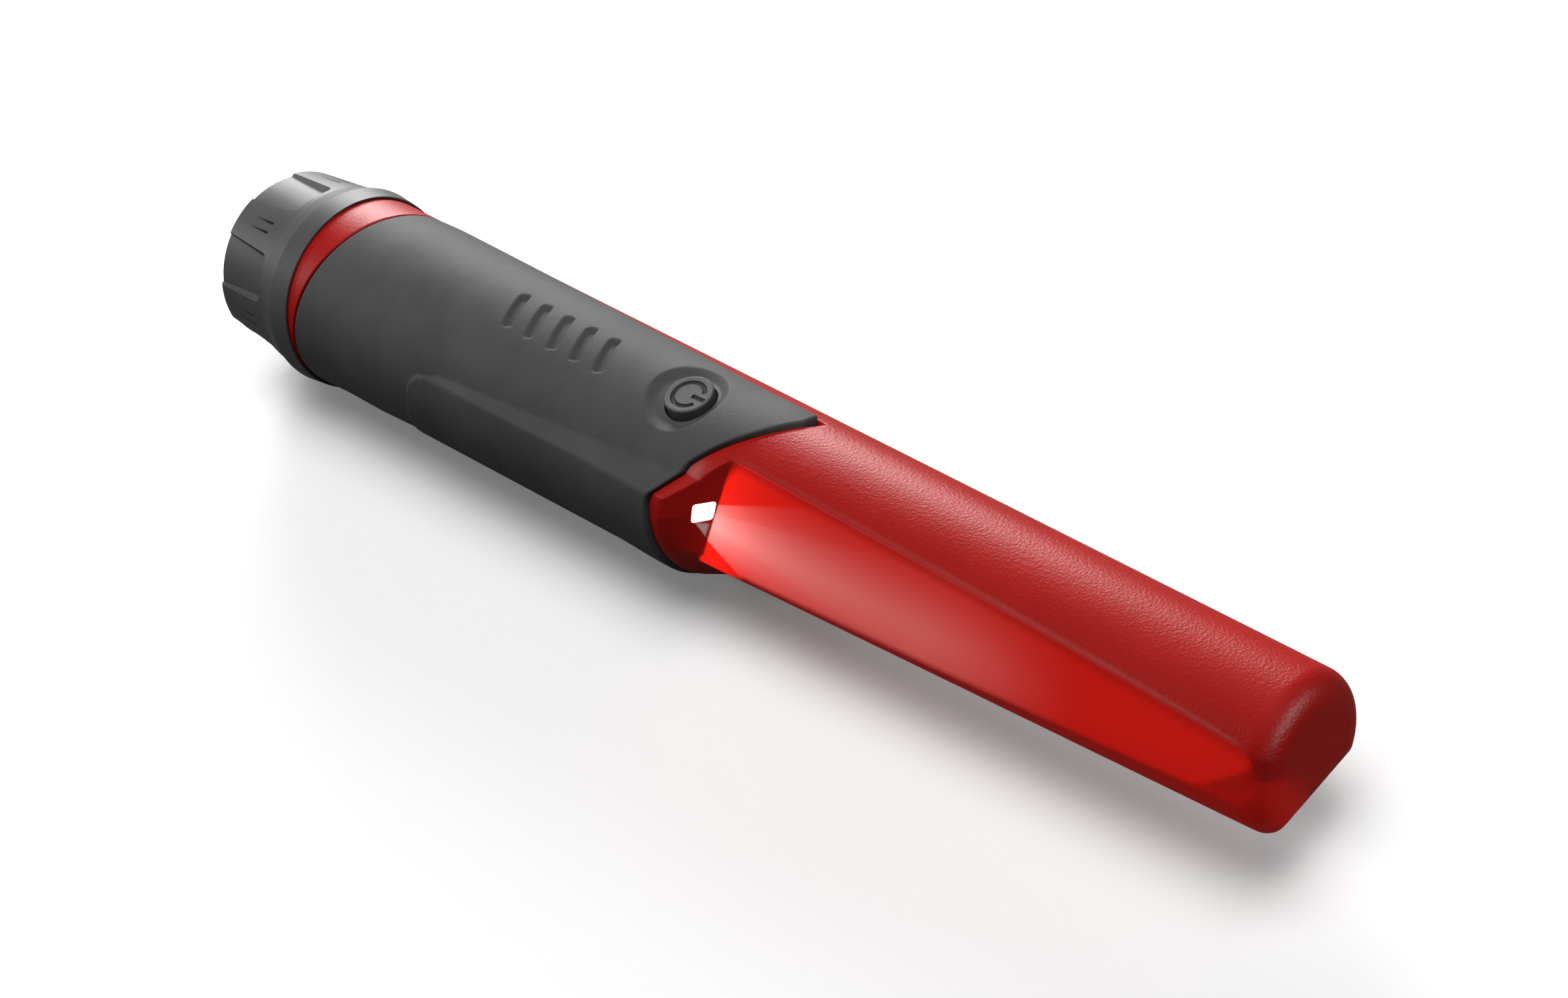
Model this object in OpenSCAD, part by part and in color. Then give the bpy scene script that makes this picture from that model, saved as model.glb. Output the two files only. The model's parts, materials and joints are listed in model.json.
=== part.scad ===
// Handheld pinpointer probe: a tapered tube with a rubber grip, a push button,
// a lamp that shines along the flat of the probe, and a screw cap over the battery.
// X runs along the axis towards the tip, +Z is the button side, -Y the lamp side.
// Angles round the axis are measured from +Z towards -Y.

/* [Body] */
// Overall length, from the cap's end to the tip
total_l = 250; // [240:1:265]
// Body radius behind the grip, where the cap meets it
rear_r = 19.16; // [19.1:0.02:19.6]
// Body radius at the tip
tip_r = 13.3; // [13.1:0.1:14.2]
// Radius of the rounding at the tip
tip_round = 4; // [3:0.25:5]
// Wall of the shell under the grip
wall = 2.5; // [2.4:0.1:2.7]
// Wall of the shell behind the flats of the probe
flat_wall = 1.8; // [1.5:0.1:2.1]
// Wall of the shell at the tip
tip_wall = 3; // [2:0.25:4]

/* [Probe flats] */
// Direction that the lamp-side flat faces
flat_dir = 60; // [56:1:64]
// Distance of the lamp-side flat from the axis
flat_d = 13; // [12.7:0.05:13.2]
// Direction that the lower bevel faces
bevel_dir = 120; // [115:1:125]
// Depth of the lower bevel below the round of the body
bevel_cut = 1; // [0.6:0.1:1.3]
// Start of the underside flat, ahead of the ramp
under_start = 18; // [14:1:24]
// Underside flat's distance below the axis where it starts
under_d0 = 15.6; // [15.2:0.1:15.8]
// Underside flat's distance below the axis at the tip
under_d1 = 10.3; // [10:0.1:11]

/* [Grip] */
// Thickness of the rubber over the shell
grip_t = 1.4; // [1.3:0.05:1.5]
// Radius of the finger swell under the grip
swell_r = 18.7; // [18.5:0.05:18.9]
// Start of the finger swell, ahead of the cap
swell_start = 36; // [30:1:44]
// Length over which the finger swell rises
swell_rise = 6; // [5:0.5:8]
// Distance of the swell's upper facet from the axis
facet_d = 15.7; // [15.4:0.05:15.9]
// Direction that the swell's upper facet faces
facet_dir = 27; // [24:1:30]
// Direction that the swell's far facet faces
far_facet_dir = -80; // [-84:1:-76]
// Distance of the belly's resting flat from the axis
belly_d = 17.6; // [17.4:0.1:18]
// Width of the red ring between the cap and the grip, on the axis
ring_w = 5.6; // [5.5:0.1:7]
// Lean of the grip's rear edge
ring_lean = 15.3; // [10:0.1:17]
// Direction in which the red ring is widest
ring_dir = -59; // [-70:1:-50]
// Lean of the grip's front edge
front_lean = 37.2; // [34:0.1:40]
// Direction in which the grip's front edge reaches furthest
front_dir = -60; // [-66:1:-54]
// Grip's front edge ahead of the button, on the axis
front_reach = 12.1; // [11:0.1:13]
// Upper edge of the red spine above the axis, at the cap
spine_rear_top = 7.9; // [7:0.1:9]
// Lower edge of the red spine above the axis, at the cap
spine_rear_low = 5.2; // [4:0.1:6]
// Upper edge of the red spine above the axis, at the ramp
spine_front_top = 13.2; // [12.8:0.1:13.6]
// Lower edge of the red spine above the axis, at the ramp
spine_front_low = -6; // [-7:0.1:-5]
// Width of the red collar between the grip and the ramp
collar_w = 2.7; // [2:0.1:3.5]

/* [Grip slots] */
// Number of slots behind the button
slot_count = 5; // [3:1:6]
// Distance between the slots
slot_pitch = 6; // [5:0.5:7]
// Distance from the button to the place before the first slot
slot_start = 15; // [12:0.5:18]
// Width of a slot
slot_w = 2; // [1.5:0.1:2.5]
// Length of a slot
slot_l = 8; // [6:0.5:10]
// Depth of a slot
slot_depth = 0.5; // [0.3:0.05:0.8]
// Lean of a slot
slot_lean = 20; // [0:1:30]

/* [Lamp] */
// Start of the lamp's ramp, ahead of the cap
ramp_start = 106.2; // [104:0.2:110]
// Lean of the ramp from square to the axis
ramp_lean = 38.2; // [36:0.2:41]
// Direction that the ramp faces
ramp_dir = 70; // [67:1:73]
// Distance of the ramp's outer edge from the axis
ramp_e = 18.5; // [18.3:0.05:18.7]
// Lamp window's place down the ramp, from its outer edge
lamp_along = 6.8; // [6.4:0.1:7.2]
// Lamp window's place across the ramp
lamp_across = 1; // [0.5:0.1:1.5]
// Lamp window's length down the ramp
lens_a = 4.4; // [4.2:0.1:4.8]
// Lamp window's width across the ramp
lens_b = 3.2; // [3:0.1:3.6]
// Corner radius of the lamp window
lens_round = 0.7; // [0.4:0.1:1]
// Height of the lamp behind its window
led_h = 1.2; // [0.8:0.1:1.5]
// Side of the lamp's own board
led_board_w = 4; // [3.8:0.1:4.4]
// Thickness of the lamp's own board
led_board_t = 0.8; // [0.6:0.1:1]

/* [Button] */
// Button's place, ahead of the cap
button_start = 99.5; // [97:0.5:101]
// Radius of the button's face
button_r = 4.45; // [4.2:0.05:4.8]
// Radius of the dish round the button
dish_r = 7.5; // [7:0.1:8]
// Depth of the dish
dish_depth = 1; // [0.7:0.05:1.1]
// Height of the button's face above the body
button_proud = 0.5; // [0.3:0.05:0.9]
// Travel of the button
button_travel = 0.6; // [0.4:0.05:0.7]
// Bevel of the button's edge
key_edge = 0.5; // [0.3:0.05:0.7]
// Thickness of the flange that keeps the button in
key_flange_t = 0.9; // [0.7:0.05:1.1]
// Width of the seal ring round the button
key_seal_w = 1; // [0.8:0.05:1.1]
// Side of the switch
switch_w = 6; // [5:0.5:7]
// Height of the switch
switch_h = 3.6; // [3.2:0.1:4]
// Radius of the switch's stem
stem_r = 1.75; // [1.5:0.05:2]
// Hold of the switch's stem in the switch, beyond its travel
stem_hold = 0.4; // [0.3:0.05:0.6]

/* [Cap] */
// Length of the cap's head
cap_head_l = 23; // [22:0.5:26]
// Radius of the cap at its end
cap_end_r = 17.8; // [17.6:0.1:18.4]
// Radius of the cap at the front of its lugs
cap_lug_r = 19.9; // [19.6:0.05:20.1]
// Radius of the cap's flange
cap_flange_r = 20.15; // [20.1:0.05:20.6]
// Length of the cap's lugs
lug_l = 12; // [10:0.5:13]
// Bevel of the cap's edges
cap_edge = 1; // [0.6:0.1:1.4]
// Number of lugs
lug_count = 6; // [5:1:7]
// Direction of the first lug
lug_dir = 23.5; // [0:0.5:59]
// Depth of the panels between the lugs
panel_depth = 1.1; // [0.8:0.1:1.4]
// Half width of a panel at the cap's end
panel_end_w = 5.5; // [5:0.1:5.6]
// Half width of a panel at its front
panel_front_w = 3.8; // [3.2:0.1:4.2]
// Length of the wedge notch in each lug
notch_l = 5.4; // [4:0.2:6]
// Width of the wedge notch in each lug
notch_w = 1.5; // [1.2:0.1:1.8]
// Depth of the wedge notch at its front
notch_depth = 0.9; // [0.6:0.1:1.1]
// Thickness of the cap's end wall
cap_end_t = 4; // [3.5:0.25:5]
// Length of the cap's threaded neck
neck_l = 10; // [9:0.5:12]
// Wall of the cap's threaded neck
neck_wall = 1.1; // [1:0.05:1.2]
// Height of the thread
thread_h = 0.4; // [0.3:0.05:0.45]
// Width of the thread at its root
thread_w = 1.6; // [1.2:0.1:2]
// Lead of the thread
thread_lead = 5; // [4:0.25:5]
// Turns of thread on the neck
thread_turns = 1.25; // [1:0.25:1.25]
// Thickness of the seal under the cap
seal_t = 1; // [0.8:0.1:1.4]
// Width of the seal under the cap
seal_w = 1.3; // [1:0.1:1.4]

/* [Battery] */
// Width of the battery
battery_w = 26.5; // [26:0.1:26.6]
// Depth of the battery
battery_d = 17.5; // [16.5:0.1:17.6]
// Length of the battery without its terminals
battery_l = 46.4; // [45:0.2:47.4]
// Rounding of the battery's corners
battery_round = 3; // [2.9:0.1:4]
// Height of the battery's terminals
terminal_h = 2.6; // [2:0.1:3]
// Distance between the battery's terminals
terminal_pitch = 12.7; // [12.5:0.1:12.9]
// Radius of the round terminal
stud_r = 2.8; // [2.4:0.1:3.2]
// Radius of the socket terminal
socket_r = 4; // [3.6:0.1:4.4]
// Height of the pressed contact leaves
leaf_h = 1.6; // [1.2:0.1:2]
// Thickness of the contact leaves
leaf_t = 0.3; // [0.2:0.05:0.4]
// Width of the contact leaves
leaf_w = 5; // [4:0.5:6]
// Thickness of the contact plate
plate_t = 1.6; // [1.4:0.1:2]
// Thickness of the swivel plate that presses on the battery
swivel_t = 1.6; // [1.2:0.1:2]
// Thickness of the foam pad on the swivel plate
foam_t = 2.4; // [2:0.1:3]
// Radius of the swivel plate's pivot
pivot_r = 2; // [1.5:0.1:2.5]
// Length of the swivel plate's pivot
pivot_l = 2; // [1.5:0.1:2.2]

/* [Electronics] */
// Thickness of the carrier's rear flange
carrier_flange_t = 2; // [1.5:0.1:2.5]
// Thickness of the carrier's front wall
carrier_front_t = 2; // [1.5:0.1:2.5]
// Thickness of the carrier's tray
tray_t = 1.8; // [1.4:0.1:2]
// Width of the carrier's tray
tray_w = 17; // [15:0.5:18]
// Height of the tray's top above the axis
tray_z = 1; // [0.6:0.1:1.2]
// Thickness of the ring that holds the carrier in the shell
snap_t = 1.2; // [1:0.1:1.4]
// Depth of the ring's groove in the shell
snap_depth = 0.5; // [0.4:0.05:0.6]
// Height of the posts under the main board
post_h = 2; // [1.8:0.1:2.2]
// Radius of the posts under the main board
post_r = 2; // [1.8:0.1:2.2]
// Width of the main board
board_w = 13; // [12.6:0.1:13.2]
// Thickness of the main board
board_t = 1.6; // [1.5:0.05:1.7]
// Space between the main board's ends and the carrier
board_gap = 3; // [2:0.5:4]
// Radius of the screws that hold the main board
screw_r = 0.75; // [0.6:0.05:0.85]
// Radius of the screws' heads
screw_head_r = 1.6; // [1.4:0.1:1.9]
// Height of the screws' heads
screw_head_h = 1.1; // [0.9:0.1:1.3]
// Radius of the filter capacitors
cap_can_r = 2; // [1.6:0.1:2.2]
// Height of the filter capacitors
cap_can_h = 5; // [4:0.2:5.4]
// Height of the chips
chip_h = 1.4; // [1:0.1:1.6]
// Side of the processor
processor_w = 9; // [7:0.5:9.5]
// Length of the amplifier
amplifier_l = 6; // [5:0.5:7]
// Width of the amplifier
amplifier_w = 5; // [4:0.5:6]
// Side of the regulator
regulator_w = 4.5; // [3:0.5:5]
// Radius of the sounder
sounder_r = 6; // [5:0.5:6.5]
// Height of the sounder
sounder_h = 5.5; // [4.5:0.25:6]
// Sounder's place, ahead of the button
sounder_start = 24; // [20:0.5:30]
// Radius of the buzz motor
motor_r = 3; // [2.6:0.1:3.2]
// Length of the buzz motor
motor_l = 12; // [10:0.5:14]
// Buzz motor's place, ahead of the carrier's flange
motor_start = 12; // [8:0.5:16]
// Radius of the buzz motor's shaft
shaft_r = 0.5; // [0.4:0.05:0.6]
// Radius of the buzz motor's weight
weight_r = 2.6; // [2.2:0.1:2.8]
// Length of the buzz motor's weight
weight_l = 4; // [3:0.5:5]
// Radius of the hook-up wires
wire_r = 0.5; // [0.4:0.05:0.6]

/* [Search coil] */
// Radius of the ferrite rod
rod_r = 4; // [3.5:0.1:4.2]
// Length of the bobbin
bobbin_l = 56; // [50:1:60]
// Wall of the bobbin's tube
bobbin_wall = 1; // [0.8:0.1:1.2]
// Radius of the bobbin's flanges
bobbin_flange_r = 7.5; // [7:0.1:7.8]
// Thickness of the bobbin's flanges
bobbin_flange_t = 1.6; // [1.2:0.1:2]
// Thickness of the wire wound on the bobbin
winding_t = 1.6; // [1.2:0.1:1.7]
// Thickness of the cushion at the tip
cushion_t = 2.6; // [2:0.2:4]

/* [Fits] */
// Radial clearance of a running fit
run_fit = 0.05; // [0.03:0.01:0.08]
// Clearance between pieces that slide in by hand
slide_fit = 0.2; // [0.15:0.01:0.25]
// Clearance round the button
button_fit = 0.3; // [0.25:0.01:0.35]
// Gap between the pressed faces of the cap's stack
face_gap = 0.1; // [0.05:0.01:0.15]
// Radial clearance of the thread
thread_fit = 0.15; // [0.12:0.01:0.2]

/* [Hidden] */
$fn = 96;

// A block large enough to stand for all that lies on one side of a plane
far = 400;
// How far a cut runs past the face it opens
past = 1;
axis_h = cap_flange_r;

// Places along the axis, from the cap's end
x_rear = -total_l / 2;
x_tip = total_l / 2;
x_mouth = x_rear + cap_head_l;
x_shell = x_mouth + face_gap;
x_floor = x_rear + cap_end_t;
x_swivel = x_floor + face_gap;
x_foam = x_swivel + swivel_t;
x_battery = x_foam + foam_t + face_gap;
x_terminal = x_battery + battery_l;
x_leaf = x_terminal + terminal_h;
x_plate = x_leaf + leaf_h;
x_flange = x_plate + plate_t;
x_shoulder = x_flange + carrier_flange_t;
x_button = x_mouth + button_start;
x_ramp = x_mouth + ramp_start;
x_under = x_ramp + under_start;
x_swell = x_mouth + swell_start;

// Places along the axis, back from the tip
x_nose = x_tip - tip_wall;
x_bobbin_end = x_nose - cushion_t;
x_bobbin = x_bobbin_end - bobbin_l;
x_front = x_bobbin - carrier_front_t;
x_board = x_shoulder + board_gap;
x_board_end = x_front - board_gap;

// Radius of the round body at a place along the axis
function body_r(x) = rear_r + (tip_r - rear_r) * (x - x_mouth) / (x_tip - x_mouth);
// How far in from the body's surface the cavity lies
cavity_inset = grip_t + wall;
under_angle = atan((under_d0 - under_d1) / (x_tip - x_under));

// Battery compartment, cap neck and the ring that holds the carrier
battery_reach = norm([battery_w / 2 - battery_round, battery_d / 2 - battery_round]) + battery_round;
compartment_r = battery_reach + slide_fit;
neck_r = compartment_r + neck_wall;
thread_r = neck_r + thread_h;
mouth_r = thread_r + thread_fit;
mouth_depth = neck_l + past;
carrier_r = compartment_r - slide_fit;
groove_r = compartment_r + snap_depth;
plate_r = compartment_r - snap_t - slide_fit;

// Heights above the axis
board_z = tray_z + post_h;
board_top = board_z + board_t;
switch_top = board_top + switch_h;
key_top = body_r(x_button) + button_proud;
well_r = button_r + button_fit;
// The key's flange sits under the shell's inner wall beside the button's well
key_flange_r = well_r + button_proud;
key_roof_r = body_r(x_button + key_flange_r) - cavity_inset;
key_flange_z = sqrt(pow(key_roof_r, 2) - pow(key_flange_r, 2)) - button_fit;
stem_top = key_flange_z - key_flange_t;
stem_depth = button_travel + stem_hold;
seal_r = button_r + button_fit - run_fit;
seal_z = body_r(x_button) - cavity_inset;

// Buzz motor and sounder under the tray
tray_bottom = tray_z - tray_t;
motor_z = tray_bottom - motor_r - leaf_t;
x_motor = x_shoulder + motor_start;
motor_saddle_l = motor_l / 2;
shaft_grip = motor_l / 3;
x_weight = x_motor + motor_l + past;
x_sounder = x_button + sounder_start;

// Depth of the lamp's board behind the ramp, where its back corner clears the inner flat
lamp_turn = ramp_dir - flat_dir;
led_corner_d = flat_d - flat_wall - slide_fit;
led_corner_e = (led_corner_d - (lamp_across + led_board_w / 2) * sin(lamp_turn)) / cos(lamp_turn);
led_depth = (ramp_e - (lamp_along - led_board_w / 2) * sin(ramp_lean) - led_corner_e) / cos(ramp_lean);
lens_l = led_depth - led_h;

// Colours
red = [0.62, 0.05, 0.04];
charcoal = [0.12, 0.12, 0.12];
dark_grey = [0.22, 0.22, 0.23];
board_green = [0.05, 0.3, 0.15];
nylon = [0.8, 0.78, 0.72];
metal = [0.75, 0.75, 0.77];
copper = [0.72, 0.4, 0.2];

// Everything is drawn about the axis and lifted so that the flange touches the ground
module lifted() {
    translate([0, 0, axis_h]) children();
}

// A cylinder or cone along the axis
module rod_x(x0, x1, r0, r1) {
    translate([x0, 0, 0]) rotate([0, 90, 0]) cylinder(h = x1 - x0, r1 = r0, r2 = r1);
}

// A ring along the axis
module ring_x(x0, x1, inner, outer) {
    difference() {
        rod_x(x0, x1, outer, outer);
        rod_x(x0 - past, x1 + past, inner, inner);
    }
}

// A box given by its lowest corner and its size
module box(corner, size) {
    translate(corner) cube(size);
}

// All that lies beyond a plane at distance d in direction dir
module beyond(dir, d) {
    rotate([dir, 0, 0]) box([-far / 2, -far / 2, d], [far, far, far]);
}

// The round tapered body, inset from its surface
module taper(x0, x1, inset) {
    rod_x(x0, x1, body_r(x0) - inset, body_r(x1) - inset);
}

// The tapered body with its rounded tip
module rounded_taper() {
    round_x = x_tip - tip_round;
    round_r = body_r(round_x);
    taper(x_shell, round_x, 0);
    translate([round_x, 0, 0]) rotate([0, 90, 0]) rotate_extrude() {
        square([round_r - tip_round, tip_round]);
        intersection() {
            translate([round_r - tip_round, 0]) circle(tip_round);
            square([round_r, tip_round]);
        }
    }
}

// Local frame on the ramp: x runs down the ramp, z is its outward normal
module on_ramp() {
    rotate([ramp_dir, 0, 0]) translate([x_ramp, 0, ramp_e]) rotate([0, ramp_lean, 0]) children();
}

// Local frame at the lamp window
module at_lamp() {
    on_ramp() translate([lamp_along, lamp_across, 0]) children();
}

// All that lies ahead of the ramp
module ahead_of_ramp() {
    on_ramp() box([-far / 2, -far / 2, 0], [far, far, far]);
}

// Finger swell that wraps the belly, with its facets and its resting flat
module swell() {
    fall_x = x_ramp + swell_rise;
    difference() {
        union() {
            rod_x(x_swell, x_swell + swell_rise, body_r(x_swell) - past, swell_r);
            rod_x(x_swell + swell_rise, fall_x, swell_r, swell_r);
            rod_x(fall_x, x_under, swell_r, body_r(x_under) - past);
        }
        beyond(facet_dir, facet_d);
        beyond(far_facet_dir, facet_d);
        beyond((facet_dir + far_facet_dir) / 2, facet_d / 2);
        beyond(180, belly_d);
        ahead_of_ramp();
    }
}

// Flat underside of the probe, inset from its face
module below_underside(inset) {
    translate([x_under, 0, inset - under_d0]) rotate([0, -under_angle, 0])
        box([-far / 2, -far / 2, -far], [far, far, far]);
}

// Bevel between the lamp-side flat and the underside, along the taper
module below_bevel() {
    lean = atan((rear_r - tip_r) / (x_tip - x_mouth));
    rotate([bevel_dir, 0, 0]) translate([x_ramp, 0, body_r(x_ramp) - bevel_cut])
        rotate([0, lean, 0]) box([0, -far / 2, 0], [far, far, far]);
}

// Bevel that rounds off the tip against a flat
module tip_bevel(dir, d) {
    rotate([dir, 0, 0]) translate([x_tip, 0, d - tip_round / 2]) rotate([0, 45, 0])
        box([-far / 2, -far / 2, 0], [far, far, far]);
}

// Outside of the whole body, grip included
module outer_form() {
    difference() {
        union() {
            rounded_taper();
            swell();
        }
        intersection() {
            ahead_of_ramp();
            beyond(flat_dir, flat_d);
        }
        intersection() {
            below_underside(0);
            box([x_under, -far / 2, -far / 2], [far, far, far]);
        }
        intersection() {
            ahead_of_ramp();
            below_bevel();
        }
        tip_bevel(flat_dir, flat_d);
        tip_bevel(180, under_d1);
    }
}

// Space ahead of the shoulder, inside the shell
module cavity(fit) {
    difference() {
        taper(x_shoulder - past, x_nose, cavity_inset + fit);
        beyond(flat_dir, flat_d - flat_wall - fit);
        below_underside(flat_wall + fit);
    }
}

// Where the rubber lies
module grip_zone() {
    difference() {
        union() {
            box([x_shell - far, -far / 2, -far / 2], [x_ramp - collar_w - x_shell + far, far, far]);
            intersection() {
                rotate([front_dir, 0, 0]) translate([x_button + front_reach, 0, 0])
                    rotate([0, front_lean, 0]) box([-far, -far / 2, -far / 2], [far, far, far]);
                box([-far / 2, -far / 2, 0], [far, far, far]);
            }
        }
        rotate([ring_dir, 0, 0]) translate([x_mouth + ring_w, 0, 0])
            rotate([0, ring_lean, 0]) box([-far, -far / 2, -far / 2], [far, far, far]);
        spine_zone();
        taper(x_shell - past, x_tip, grip_t);
    }
}

// Red spine that shows between the edges of the rubber on the far side
module spine_zone() {
    run = (total_l - cap_head_l) / ramp_start;
    top = spine_rear_top + (spine_front_top - spine_rear_top) * run;
    low = spine_rear_low + (spine_front_low - spine_rear_low) * run;
    translate([0, far, 0]) rotate([90, 0, 0]) linear_extrude(far)
        polygon([[x_mouth, spine_rear_low], [x_tip, low], [x_tip, top], [x_mouth, spine_rear_top]]);
}

// Hole through the wall for the button
module button_well() {
    translate([x_button, 0, 0]) cylinder(h = far, r = well_r);
}

// Rounded outline of the lamp window, larger by a fit
module lens_outline(fit) {
    a = lens_a / 2 - lens_round;
    b = lens_b / 2 - lens_round;
    square([2 * a, 2 * (b + lens_round + fit)], center = true);
    square([2 * (a + lens_round + fit), 2 * b], center = true);
    for (i = [-1, 1]) {
        for (j = [-1, 1]) {
            translate([i * a, j * b]) circle(lens_round + fit);
        }
    }
}

// One-piece tube of the probe and handle
module probe_shell() {
    color(red) lifted() difference() {
        outer_form();
        grip_zone();
        cavity(0);
        rod_x(x_shell - past, x_shoulder, compartment_r, compartment_r);
        rod_x(x_shell - past, x_mouth + mouth_depth, mouth_r, mouth_r);
        rod_x(x_flange - snap_t - run_fit, x_flange + run_fit, groove_r, groove_r);
        button_well();
        at_lamp() translate([0, 0, -led_depth - past])
            linear_extrude(led_depth + 2 * past) lens_outline(run_fit);
    }
}

// Rubber grip moulded over the shell
module grip_sleeve() {
    color(charcoal) lifted() difference() {
        intersection() {
            outer_form();
            grip_zone();
        }
        button_well();
        difference() {
            translate([x_button, 0, 0]) cylinder(h = far, r = dish_r);
            taper(x_shell, x_tip, dish_depth);
        }
        difference() {
            for (i = [1 : slot_count]) {
                translate([x_button - slot_start - i * slot_pitch, 0, 0]) rotate([0, 0, slot_lean])
                    box([-slot_w / 2, -slot_l / 2, 0], [slot_w, slot_l, far]);
            }
            taper(x_shell, x_tip, slot_depth);
        }
    }
}

// Clear window over the lamp
module lamp_window() {
    color("white") lifted() at_lamp() translate([0, 0, -lens_l]) linear_extrude(lens_l) lens_outline(0);
}

module lamp_led() {
    color("lightyellow") lifted() at_lamp()
        box([lens_round - lens_a / 2, lens_round - lens_b / 2, -led_depth],
            [lens_a - 2 * lens_round, lens_b - 2 * lens_round, led_h]);
}

// Room of the lamp's own board, larger by a fit
module led_board_room(fit) {
    side = led_board_w + 2 * fit;
    at_lamp() box([-side / 2, -side / 2, -led_depth - led_board_t - fit],
                  [side, side, led_board_t + 2 * fit]);
}

module lamp_board() {
    color(board_green) lifted() led_board_room(0);
}

// Two wires from the lamp's board to the edge of the main board
module lamp_leads() {
    color("white") lifted() difference() {
        for (i = [-1, 1]) {
            at_lamp() translate([i * led_board_w / 4, 0, -led_depth - led_board_t - board_w / 2])
                cylinder(h = board_w / 2, r = wire_r);
        }
        box([-far / 2, -board_w / 2, -far / 2], [far, far, far]);
    }
}

// Places of the main board's posts and screws
module at_posts() {
    inset = 2 * post_r + wire_r;
    for (x = [x_board + inset, x_board_end - inset]) {
        for (y = [-1, 1]) {
            translate([x, y * (board_w / 2 - post_r), 0]) children();
        }
    }
}

// Nylon tray that carries the electronics and the search coil
module board_carrier() {
    hole_depth = post_h + tray_t / 2;
    saddle_w = 2 * motor_r + 2 * wall;
    color(nylon) lifted() difference() {
        union() {
            rod_x(x_flange, x_shoulder, carrier_r, carrier_r);
            box([x_flange, -tray_w / 2, tray_bottom], [x_front - x_flange, tray_w, tray_t]);
            intersection() {
                cavity(slide_fit);
                box([x_front, -far / 2, -far / 2], [carrier_front_t, far, far]);
            }
            at_posts() translate([0, 0, tray_z]) cylinder(h = post_h, r = post_r);
            box([x_motor, -saddle_w / 2, motor_z - motor_r - wall],
                [motor_saddle_l, saddle_w, tray_bottom - motor_z + motor_r + wall]);
        }
        at_posts() translate([0, 0, board_z - hole_depth])
            cylinder(h = hole_depth + past, r = screw_r + run_fit);
        translate([0, 0, motor_z])
            rod_x(x_motor - past, x_motor + motor_l, motor_r + run_fit, motor_r + run_fit);
        rod_x(x_front - past, x_bobbin + past, rod_r - run_fit, rod_r - run_fit);
        for (y = [-1, 1]) {
            translate([0, y * terminal_pitch / 4, board_top + wire_r])
                rod_x(x_flange - past, x_shoulder + past, wire_r + slide_fit, wire_r + slide_fit);
            translate([0, y * rod_r / 2, board_top + wire_r])
                rod_x(x_front - past, x_bobbin + past, wire_r + slide_fit, wire_r + slide_fit);
        }
    }
}

// Open ring that snaps into the shell behind the carrier
module snap_ring() {
    color(metal) lifted() difference() {
        ring_x(x_flange - snap_t, x_flange, groove_r - run_fit - snap_t, groove_r - run_fit);
        box([x_flange - snap_t - past, -snap_t, 0], [snap_t + 2 * past, 2 * snap_t, far]);
    }
}

// Main board, clear of the lamp's board
module main_board() {
    color(board_green) lifted() difference() {
        box([x_board, -board_w / 2, board_z], [x_board_end - x_board, board_w, board_t]);
        at_posts() translate([0, 0, board_z - past])
            cylinder(h = board_t + 2 * past, r = screw_r + slide_fit);
        led_board_room(slide_fit);
    }
}

module board_screws() {
    color(metal) lifted() at_posts() {
        translate([0, 0, board_z - post_h]) cylinder(h = post_h + board_t, r = screw_r);
        difference() {
            translate([0, 0, board_top]) cylinder(h = screw_head_h, r = screw_head_r);
            box([-screw_head_r, -leaf_t / 2, board_top + screw_head_h / 2],
                [2 * screw_head_r, leaf_t, screw_head_h]);
        }
    }
}

// Place on the main board, as a share of the way from the button to its front end,
// or to its rear end where the share is below 0
function on_board(share) =
    x_button + share * (share < 0 ? x_button - x_board : x_board_end - x_button);

// One chip with its centre at a place on the main board
module chip(share, length, width) {
    box([on_board(share) - length / 2, -width / 2, board_top], [length, width, chip_h]);
}

// Processor behind the button, amplifier and regulator ahead of it
module board_chips() {
    color(charcoal) lifted() {
        chip(-0.39, processor_w, processor_w);
        chip(0.43, amplifier_l, amplifier_w);
        chip(0.62, regulator_w, regulator_w);
    }
}

module filter_capacitors() {
    color("midnightblue") lifted() for (share = [-0.6, -0.21, 0.26]) {
        translate([on_board(share), 0, board_top]) cylinder(h = cap_can_h, r = cap_can_r);
    }
}

module switch_body() {
    color(charcoal) lifted() difference() {
        box([x_button - switch_w / 2, -switch_w / 2, board_top], [switch_w, switch_w, switch_h]);
        translate([x_button, 0, switch_top - stem_depth - button_travel - run_fit])
            cylinder(h = far, r = stem_r + run_fit);
    }
}

module sounder() {
    color(charcoal) lifted() translate([x_sounder, 0, tray_bottom - sounder_h]) difference() {
        cylinder(h = sounder_h, r = sounder_r);
        translate([0, 0, -past]) cylinder(h = sounder_h / 2, r = sounder_r / 6);
    }
}

module motor_can() {
    color(metal) lifted() translate([0, 0, motor_z]) difference() {
        rod_x(x_motor, x_motor + motor_l, motor_r, motor_r);
        rod_x(x_motor + motor_l - shaft_grip - face_gap, x_motor + motor_l + past,
              shaft_r + run_fit, shaft_r + run_fit);
    }
}

module ferrite_rod() {
    color("dimgrey") lifted() rod_x(x_bobbin + bobbin_flange_t, x_bobbin_end, rod_r, rod_r);
}

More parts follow.
